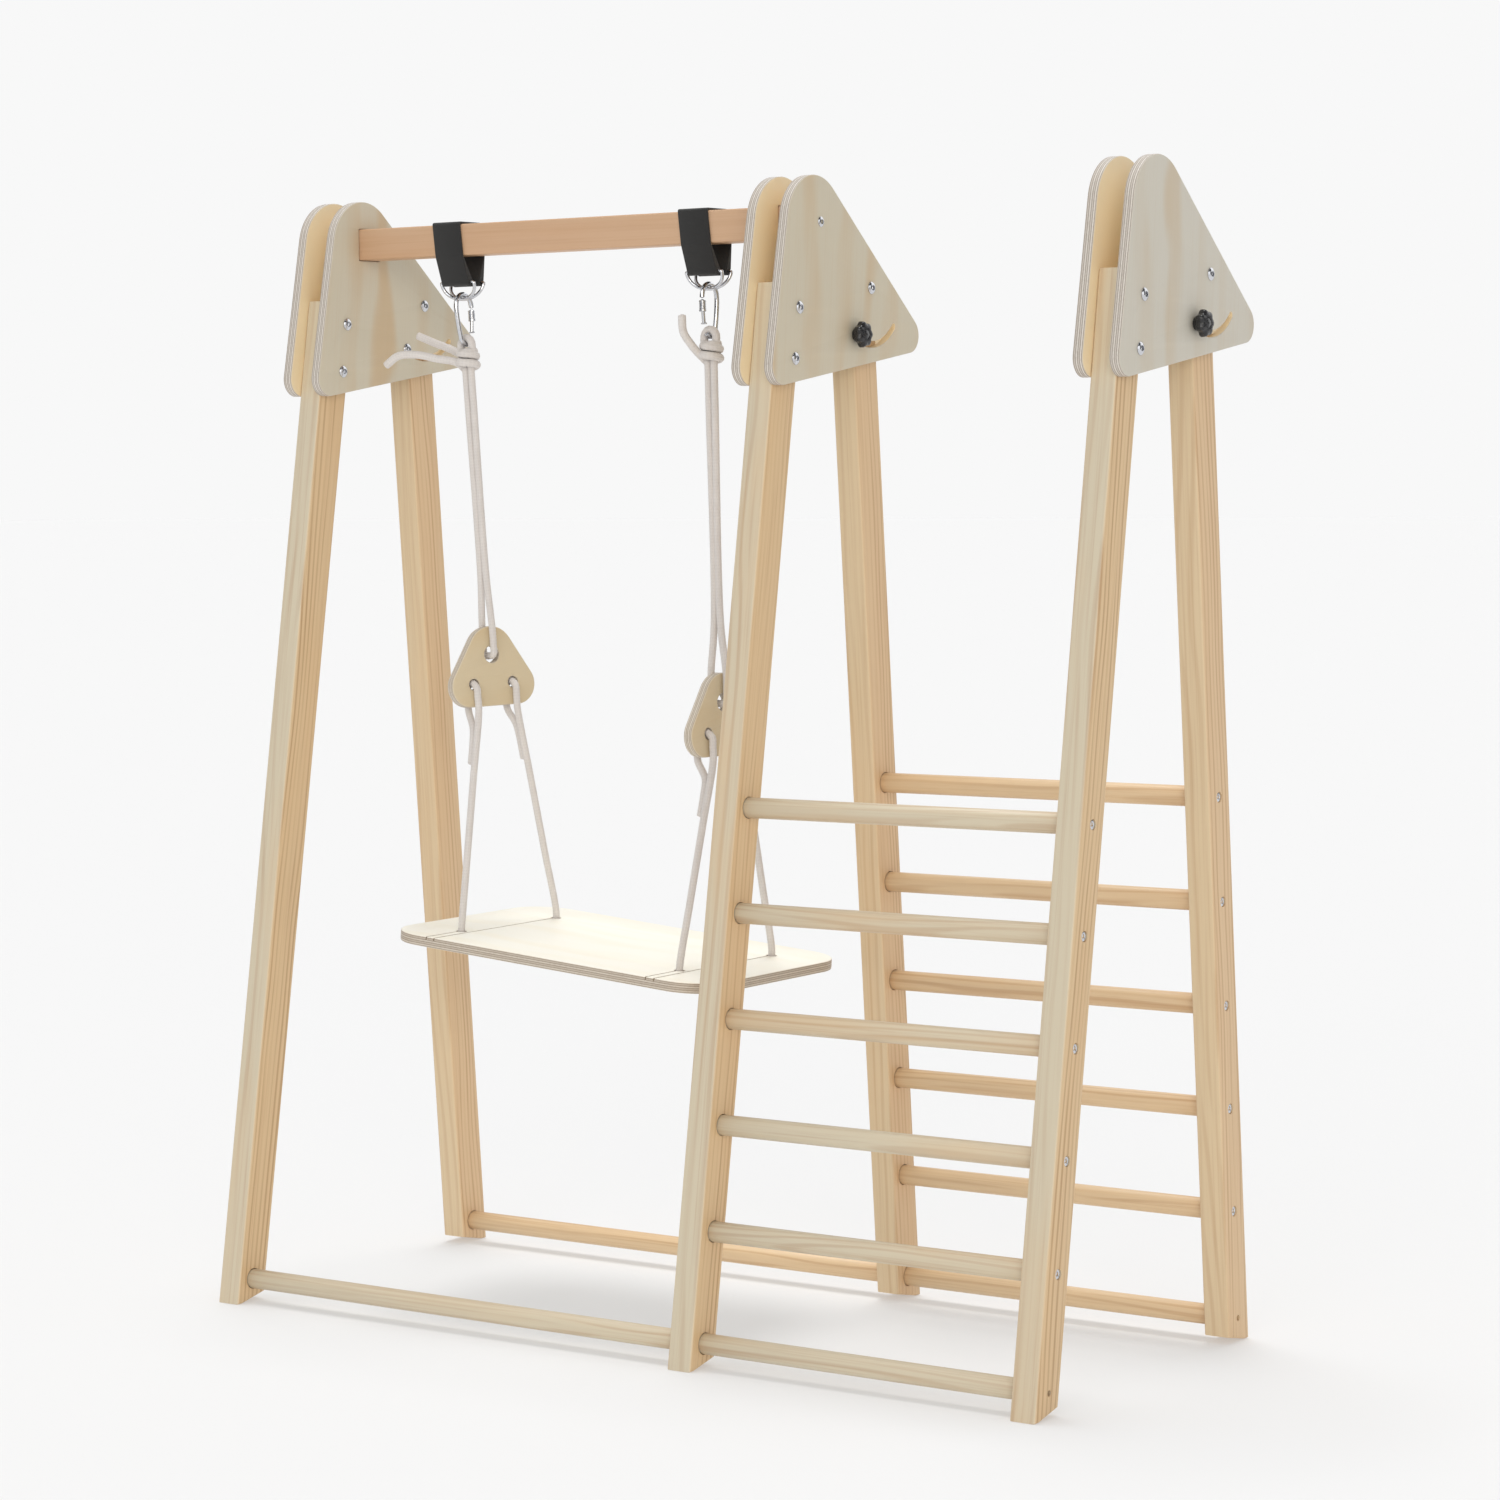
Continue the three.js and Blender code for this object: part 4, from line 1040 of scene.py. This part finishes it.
def make_strap(side):
    """Doubled webbing over the bar, sewn round a ring at each end. It leans a little along the bar."""
    inside = BAR / 2 + BAR_GAP
    outside = inside + STRAP_THICK
    eye = WIRE_R + EYE_GAP + EYE_WALL
    under = BAR_Z - BAR / 2 - 0.001
    top = BAR_Z + outside
    turn = top - STRAP_CORNER
    loop = arc((BAR_Y + EYE_Y, EYE_Z), eye, math.pi, 2 * math.pi, 14)
    loop += [(BAR_Y + outside, under), (BAR_Y + outside, turn)]
    loop += arc((BAR_Y + outside - STRAP_CORNER, turn), STRAP_CORNER, 0, math.pi / 2, 6)[1:]
    loop += arc((BAR_Y - outside + STRAP_CORNER, turn), STRAP_CORNER, math.pi / 2, math.pi, 6)
    loop += [(BAR_Y - outside, under)]
    loop += arc((BAR_Y - EYE_Y, EYE_Z), eye, math.pi, 2 * math.pi, 14)
    loop += [(BAR_Y - inside, under), (BAR_Y - inside, BAR_Z + inside)]
    loop += [(BAR_Y + inside, BAR_Z + inside), (BAR_Y + inside, under)]
    bores = [circle((BAR_Y + s * EYE_Y, EYE_Z), WIRE_R + 0.0002, 20) for s in (-1, 1)]
    mesh = board(side["name"] + "_strap", loop, bores, STRAP_WIDTH, STRAP_EDGE, 2)
    stand_up(mesh, side["strap"])
    # Level cuts across the strap give it the points that its lean needs.
    work = bmesh.new()
    work.from_mesh(mesh)
    for level in (EYE_Z + 0.010, EYE_Z + 0.020, under, BAR_Z, BAR_Z + BAR / 2):
        geometry = work.verts[:] + work.edges[:] + work.faces[:]
        bmesh.ops.bisect_plane(work, geom=geometry, plane_co=(0, 0, level), plane_no=(0, 0, 1))
    work.to_mesh(mesh)
    work.free()
    p = points_of(mesh)
    p[:, 0] -= STRAP_LEAN * np.clip((p[:, 2] - EYE_Z) / (top - EYE_Z), 0, 1)
    move_points(mesh, p)
    set_grain(mesh, (0, 0, 1), (1, 0, 0), (side["strap"], BAR_Y, 0), 1)
    put(side["name"] + "_webbing", mesh, WEBBING, "front_frame", [side["name"] + "_strap"])


def make_ring(side, row):
    """A D-ring: its straight side lies in the strap's eye, and its bow leans in to meet the other ring."""
    way = SIGN[row]
    top = np.array([side["strap"], BAR_Y + way * EYE_Y, EYE_Z])
    down = np.array([0, way * (RING_MEET - EYE_Y), -RING_DROP])
    along = np.array([1.0, 0, 0])
    straight = RING_HALF - RING_INSET
    points = [top + along * x for x in np.linspace(-straight, straight, 16)]
    for t in np.linspace(0, math.pi, 44):
        fall = max(math.sin(t) ** 0.8, 0.06)
        points.append(top + along * RING_HALF * math.cos(t) + down * fall)
    mesh = tube("ring", np.array(points), WIRE_R, 16, closed=True)
    node = f"{side['name']}_{row}_ring"
    put(node + "_wire", mesh, ZINC, "front_frame", [node], sharp=60)


# ---- hangers: everything below the rings ----
def lean_of(side):
    return math.atan2(side["strap"] - side["x"], HANG_Z - side["z"])


def hung(side):
    """Matrix from a hanger's own frame, which hangs straight down from its top, to the whole part's."""
    return Matrix.Translation((side["strap"], BAR_Y, HANG_Z)) @ Matrix.Rotation(lean_of(side), 4, "Y")


CARABINER_HALF = CARABINER_WIDTH / 2 - CARABINER_R
CARABINER_BOTTOM = -CARABINER_LENGTH + 2 * CARABINER_R


def make_carabiner(side):
    """An open bow of wire, wide at its top and narrow at its bottom, with a rivet for the gate."""
    name = side["name"]
    back = side["spine"]
    low_half = CARABINER_HALF - 0.005
    points = [(0, -back * CARABINER_HALF, -GATE_FROM)]
    for t in np.linspace(0, math.pi, 7):
        points.append((0, -back * CARABINER_HALF * math.cos(t), -CARABINER_HALF * (1 - math.sin(t))))
    points.append((0, back * (CARABINER_HALF - 0.001), CARABINER_BOTTOM * 0.5))
    for t in np.linspace(0, math.pi * 0.78, 6):
        points.append((0, back * low_half * math.cos(t), CARABINER_BOTTOM + low_half * (1 - math.sin(t))))
    body = tube(name + "_carabiner", smooth_path(points, 0.0012), CARABINER_R, 20, cap=0.001)
    body.transform(hung(side))
    put(name + "_carabiner_body", body, ZINC, "swing", [name + "_carabiner"], sharp=60)
    rivet = turned(name + "_gate_pin", [(-0.0042, 0), (-0.0042, 0.0012), (0.0042, 0.0012), (0.0042, 0)], 16)
    rivet.transform(hung(side) @ Matrix.Translation((0, -back * (CARABINER_HALF - 0.003), -GATE_TO)))
    put(name + "_gate_rivet", rivet, ZINC, "swing")


def make_gate(side):
    """The gate's bar, with a screw sleeve that has seven grooves and a knurled collar."""
    name = side["name"]
    back = side["spine"]
    top_y = -back * CARABINER_HALF
    pin_y = -back * (CARABINER_HALF - 0.003)
    line = [(0, top_y, -GATE_FROM - 0.0013), (0, (top_y + pin_y) / 2, -0.040), (0, pin_y, -GATE_TO)]
    bar = tube(name + "_gate_bar", smooth_path(line, 0.001), GATE_BAR_R, 16, cap=0.0008)
    rings = [(-SLEEVE_HALF, 0.0028), (-SLEEVE_HALF, 0.0042), (-0.0072, SLEEVE_R)]
    for i in range(7):
        x = -0.0062 + i * 0.0016
        rings += [(x, SLEEVE_R), (x + 0.0004, 0.0044), (x + 0.0008, 0.0044), (x + 0.0012, SLEEVE_R)]
    rings += [(0.0060, lambda t: SLEEVE_R + 0.0002 * math.cos(12 * t)), (0.0074, SLEEVE_R)]
    rings += [(SLEEVE_HALF, 0.0042), (SLEEVE_HALF, 0.0028)]
    sleeve = turned(name + "_sleeve", rings, 48)
    place = Matrix.Translation((0, -back * (CARABINER_HALF - 0.0006), -SLEEVE_DROP))
    sleeve.transform(place @ Matrix.Rotation(math.pi / 2, 4, "Y"))
    gate = joined(name + "_gate", [bar, sleeve])
    gate.transform(hung(side))
    put(name + "_gate_metal", gate, ZINC, name + "_gate", [name + "_gate"])


def spreader_drop(side):
    return (HANG_Z - side["top"]) / math.cos(lean_of(side))


def placed(side, points):
    matrix = hung(side)
    return [tuple(matrix @ Vector(point)) for point in points]


def make_upper_rope(side):
    """Both strands from the knot down to the spreader and round its bridge."""
    hole = spreader_drop(side) + SPREADER["top_hole"]
    bridge = PLY / 2 + ROPE_R + 0.0014
    turn = math.radians(-side["turn"])
    levels = ((bridge, 0.036), (bridge, 0.010), (bridge, -0.001), (bridge - 0.004, -0.005))

    def strand(way):
        x = way * STRAND_HALF_GAP
        points = [(x, 0, -KNOT_TOP), (x, 0, -KNOT_TOP - 0.060), (x, 0, -hole + 0.110)]
        for out, up in levels:
            points.append((way * out * math.cos(turn), way * out * math.sin(turn), -hole + up))
        return points

    points = strand(-1) + [(0, 0, -hole - 0.006)] + strand(1)[::-1]
    rope(side["name"] + "_upper_rope_braid", [placed(side, points)], side["name"] + "_upper_rope")


TAILS = {
    "left": [
        [(-0.018, -0.008, -0.096), (-0.042, -0.016, -0.090), (-0.074, -0.024, -0.081),
         (-0.106, -0.029, -0.080), (-0.130, -0.030, -0.092)],
        [(-0.016, 0.007, -0.086), (-0.038, 0.011, -0.076), (-0.068, 0.012, -0.064), (-0.096, 0.006, -0.050)],
    ],
    "right": [
        [(-0.012, -0.012, -0.096), (-0.017, -0.022, -0.084), (-0.023, -0.032, -0.066),
         (-0.022, -0.036, -0.042)],
    ],
}


def make_knot(side):
    """Two strands that meet at the carabiner's lower bow, wrap round each other and leave as tails."""
    reach = ROPE_R + CARABINER_R + 0.0012
    wrap = 2.05 * ROPE_R + 0.0006
    bow = CARABINER_BOTTOM
    tails = TAILS[side["name"]]
    # The first strand passes over the bow, comes down and turns round the other one.
    first = [
        (STRAND_HALF_GAP, 0.0, -KNOT_TOP - 0.004), (STRAND_HALF_GAP + 0.001, 0.001, -KNOT_TOP + 0.006),
        (reach, 0, bow - 0.006),
    ]
    for t in np.linspace(0.3, math.pi - 0.3, 5):
        first.append((reach * math.cos(t), 0, bow + reach * math.sin(t)))
    first += [(-reach, -0.001, bow - 0.006), (-0.004, -0.007, bow - 0.012)]
    for t in np.linspace(0, 1, 17):
        angle = -0.5 * math.pi + t * 3.3 * math.pi
        first.append((wrap * 1.22 * math.cos(angle), wrap * 1.15 * math.sin(angle), bow - 0.013 - 0.021 * t))
    first.append((wrap * 1.2 * math.cos(2.9 * math.pi), -0.004, -KNOT_DROP - 0.006))
    # The second strand comes up beside it, makes most of a turn above and leaves.
    second = [
        (-STRAND_HALF_GAP, 0.0, -KNOT_TOP - 0.004), (-STRAND_HALF_GAP, 0.002, -KNOT_TOP + 0.008),
        (-0.003, 0.005, -KNOT_DROP + 0.002),
    ]
    for t in np.linspace(0, 1, 9):
        angle = 0.25 * math.pi - t * 1.45 * math.pi
        second.append((wrap * 0.95 * math.cos(angle), wrap * 0.95 * math.sin(angle), bow - 0.010 - 0.004 * t))
    if len(tails) > 1:
        second += tails[1]
    runs = [placed(side, run) for run in (first + tails[0], second)]
    rope(side["name"] + "_knot_braid", runs, side["name"] + "_knot", SLACK_R)


def make_spreader(side):
    """A small board with round corners: its top hole takes the upper rope, its low holes the lower one."""
    name = side["name"] + "_spreader"
    corner = SPREADER["corner"]
    height = SPREADER["height"]
    half = SPREADER["half_width"]
    apex = (0, SPREADER["apex"], SPREADER["apex_r"])
    outline = rounded([(-half, -height, corner), (half, -height, corner), apex], 18)
    holes = [circle((0, -SPREADER["top_hole"] - 0.004), SPREADER["top_hole_r"], 40)]
    for way in (-1, 1):
        holes.append(circle((way * SPREADER["hole_y"] / 2, -SPREADER["low_hole"]), SPREADER["low_hole_r"]))
    mesh = board(name, outline, holes, PLY, SPREADER["edge"])
    stand_up(mesh, 0)
    set_grain(mesh, (0, 1, 0.25), (0, -0.25, 1), seed=5 + side["end"])
    set_faces(mesh, "pale", 0.0)
    turn = Matrix.Rotation(math.radians(-side["turn"]), 4, "Z")
    mesh.transform(hung(side) @ Matrix.Translation((0, 0, -spreader_drop(side))) @ turn)
    put(name + "_board", mesh, HONEY_PLY, "swing", [name])


# ---- seat and lower ropes ----
SEAT_TILT = math.atan2(SIDES[0]["z"] - SIDES[1]["z"], SIDES[1]["x"] - SIDES[0]["x"])
SEAT_CENTRE = ((SIDES[0]["x"] + SIDES[1]["x"]) / 2, BAR_Y, (SIDES[0]["z"] + SIDES[1]["z"]) / 2)
SEAT_PLACE = Matrix.Translation(SEAT_CENTRE) @ Matrix.Rotation(SEAT_TILT, 4, "Y")


def seat_hole(end, row):
    """X and Y, in the seat's own frame, of the rope's hole at one end and row."""
    return end * SEAT["hole_x"] / 2 + row * SEAT["stagger"], row * SEAT["hole_y"] / 2


def kerf_cut(x, y):
    """The cutter of the shallow saw kerf that runs from a rope hole to the seat's front edge."""
    run = y + SEAT["depth"] / 2 + 0.002
    work = bmesh.new()
    bmesh.ops.create_cube(work, size=1)
    size = Matrix.Diagonal((SEAT["kerf"], run, 2 * SEAT["kerf_depth"], 1))
    work.transform(Matrix.Translation((x, y - run / 2, PLY / 2)) @ size)
    mesh = bpy.data.meshes.new("kerf")
    work.to_mesh(mesh)
    work.free()
    return mesh


def make_seat():
    outline = rectangle(SEAT["length"] / 2, SEAT["depth"] / 2, SEAT["corner"], 20)
    spots = [seat_hole(end, row) for end in (-1, 1) for row in (-1, 1)]
    mesh = board("seat", outline, [circle(spot, SEAT["hole_r"]) for spot in spots], PLY, SEAT["edge"])
    mesh = carve("seat", mesh, [kerf_cut(*spot) for spot in spots])
    set_grain(mesh, (1, 0, 0), (0, 1, 0), seed=2)
    set_faces(mesh, "pale", 0.0)
    mesh.transform(SEAT_PLACE)
    put("seat_board", mesh, SEAT_PLY, "swing", ["seat"])


def make_lower_rope(side):
    """From a spreader hole down through the seat, along its underside and back up to the other hole."""
    turn = math.radians(-side["turn"])
    drop = spreader_drop(side) + SPREADER["low_hole"]
    matrix = hung(side)
    proud = PLY / 2 + ROPE_R + ROPE_GAP
    leaving = 0.038
    beside = Vector((-0.93, 0.37, 0))

    def at_spreader(row, out, down):
        y = row * SPREADER["hole_y"] / 2
        turned_x = out * math.cos(turn) - y * math.sin(turn)
        turned_y = out * math.sin(turn) + y * math.cos(turn)
        return matrix @ Vector((turned_x, turned_y, -drop - down))

    def half(row):
        """The rope's end, its loop through the spreader, and its strand down to and under the seat."""
        x, y = seat_hole(side["end"], row)
        arrive = SEAT_PLACE @ Vector((x, y, PLY / 2 + 0.008))
        leave = at_spreader(row, proud, leaving)
        length = (leave - arrive).length
        tail = [
            leave.lerp(arrive, (down - leaving) / length) + beside * (2 * ROPE_R + apart)
            for down, apart in ((0.118, 0), (0.088, 0), (0.064, 0.003))
        ]
        loop = [
            (-proud, leaving), (-proud, 0.018), (-proud + 0.001, 0.005), (0, -0.002),
            (proud - 0.001, 0.005), (proud, 0.018),
        ]
        points = tail + [at_spreader(row, out, down) for out, down in loop]
        points += [leave, leave.lerp(arrive, 0.3), leave.lerp(arrive, 0.7), arrive]
        below = [
            (x, y, 0), (x, y - row * 0.0015, -proud + 0.003), (x - row * 0.001, y - row * 0.012, -proud),
            (x - row * 0.004, y - row * 0.050, -proud),
        ]
        return points + [SEAT_PLACE @ Vector(p) for p in below]

    points = half(-1) + half(1)[::-1]
    rope(side["name"] + "_lower_rope_braid", [points], side["name"] + "_lower_rope")


# ---- the whole set ----
PLATES = (
    "left_outer_plate", "left_inner_plate", "middle_inner_plate",
    "middle_outer_plate", "right_inner_plate", "right_outer_plate",
)

make_camera()
make_world()
for sun in SUNS:
    make_sun(*sun)
make_floor()
for number, which in enumerate(FRAMES):
    make_leg(which, "front", seed=2 * number)
    make_leg(which, "rear", seed=2 * number + 1)
    for spot in ("lower", "upper", "pivot"):
        make_bolt(f"{which}_{spot}_bolt")
    make_knob(which)
for row, first_seed in (("front", 7), ("rear", 12)):
    for i in range(len(RUNG_STATIONS)):
        make_dowel(f"{row}_rung_{i + 1}", row, seed=first_seed + i)
    make_dowel(f"{row}_ladder_stretcher", row, seed=20)
    make_dowel(f"{row}_swing_stretcher", row, seed=21)
make_rung_screws("front")
make_rung_screws("rear")
for number, node in enumerate(PLATES):
    make_plate(node, seed=30 + number)
make_bar()
make_bar_screw("left", -1)
make_bar_screw("right", 1)
for side in SIDES:
    make_strap(side)
    make_ring(side, "front")
    make_ring(side, "rear")
    make_carabiner(side)
    make_gate(side)
    make_knot(side)
    make_upper_rope(side)
    make_spreader(side)
    make_lower_rope(side)
make_seat()
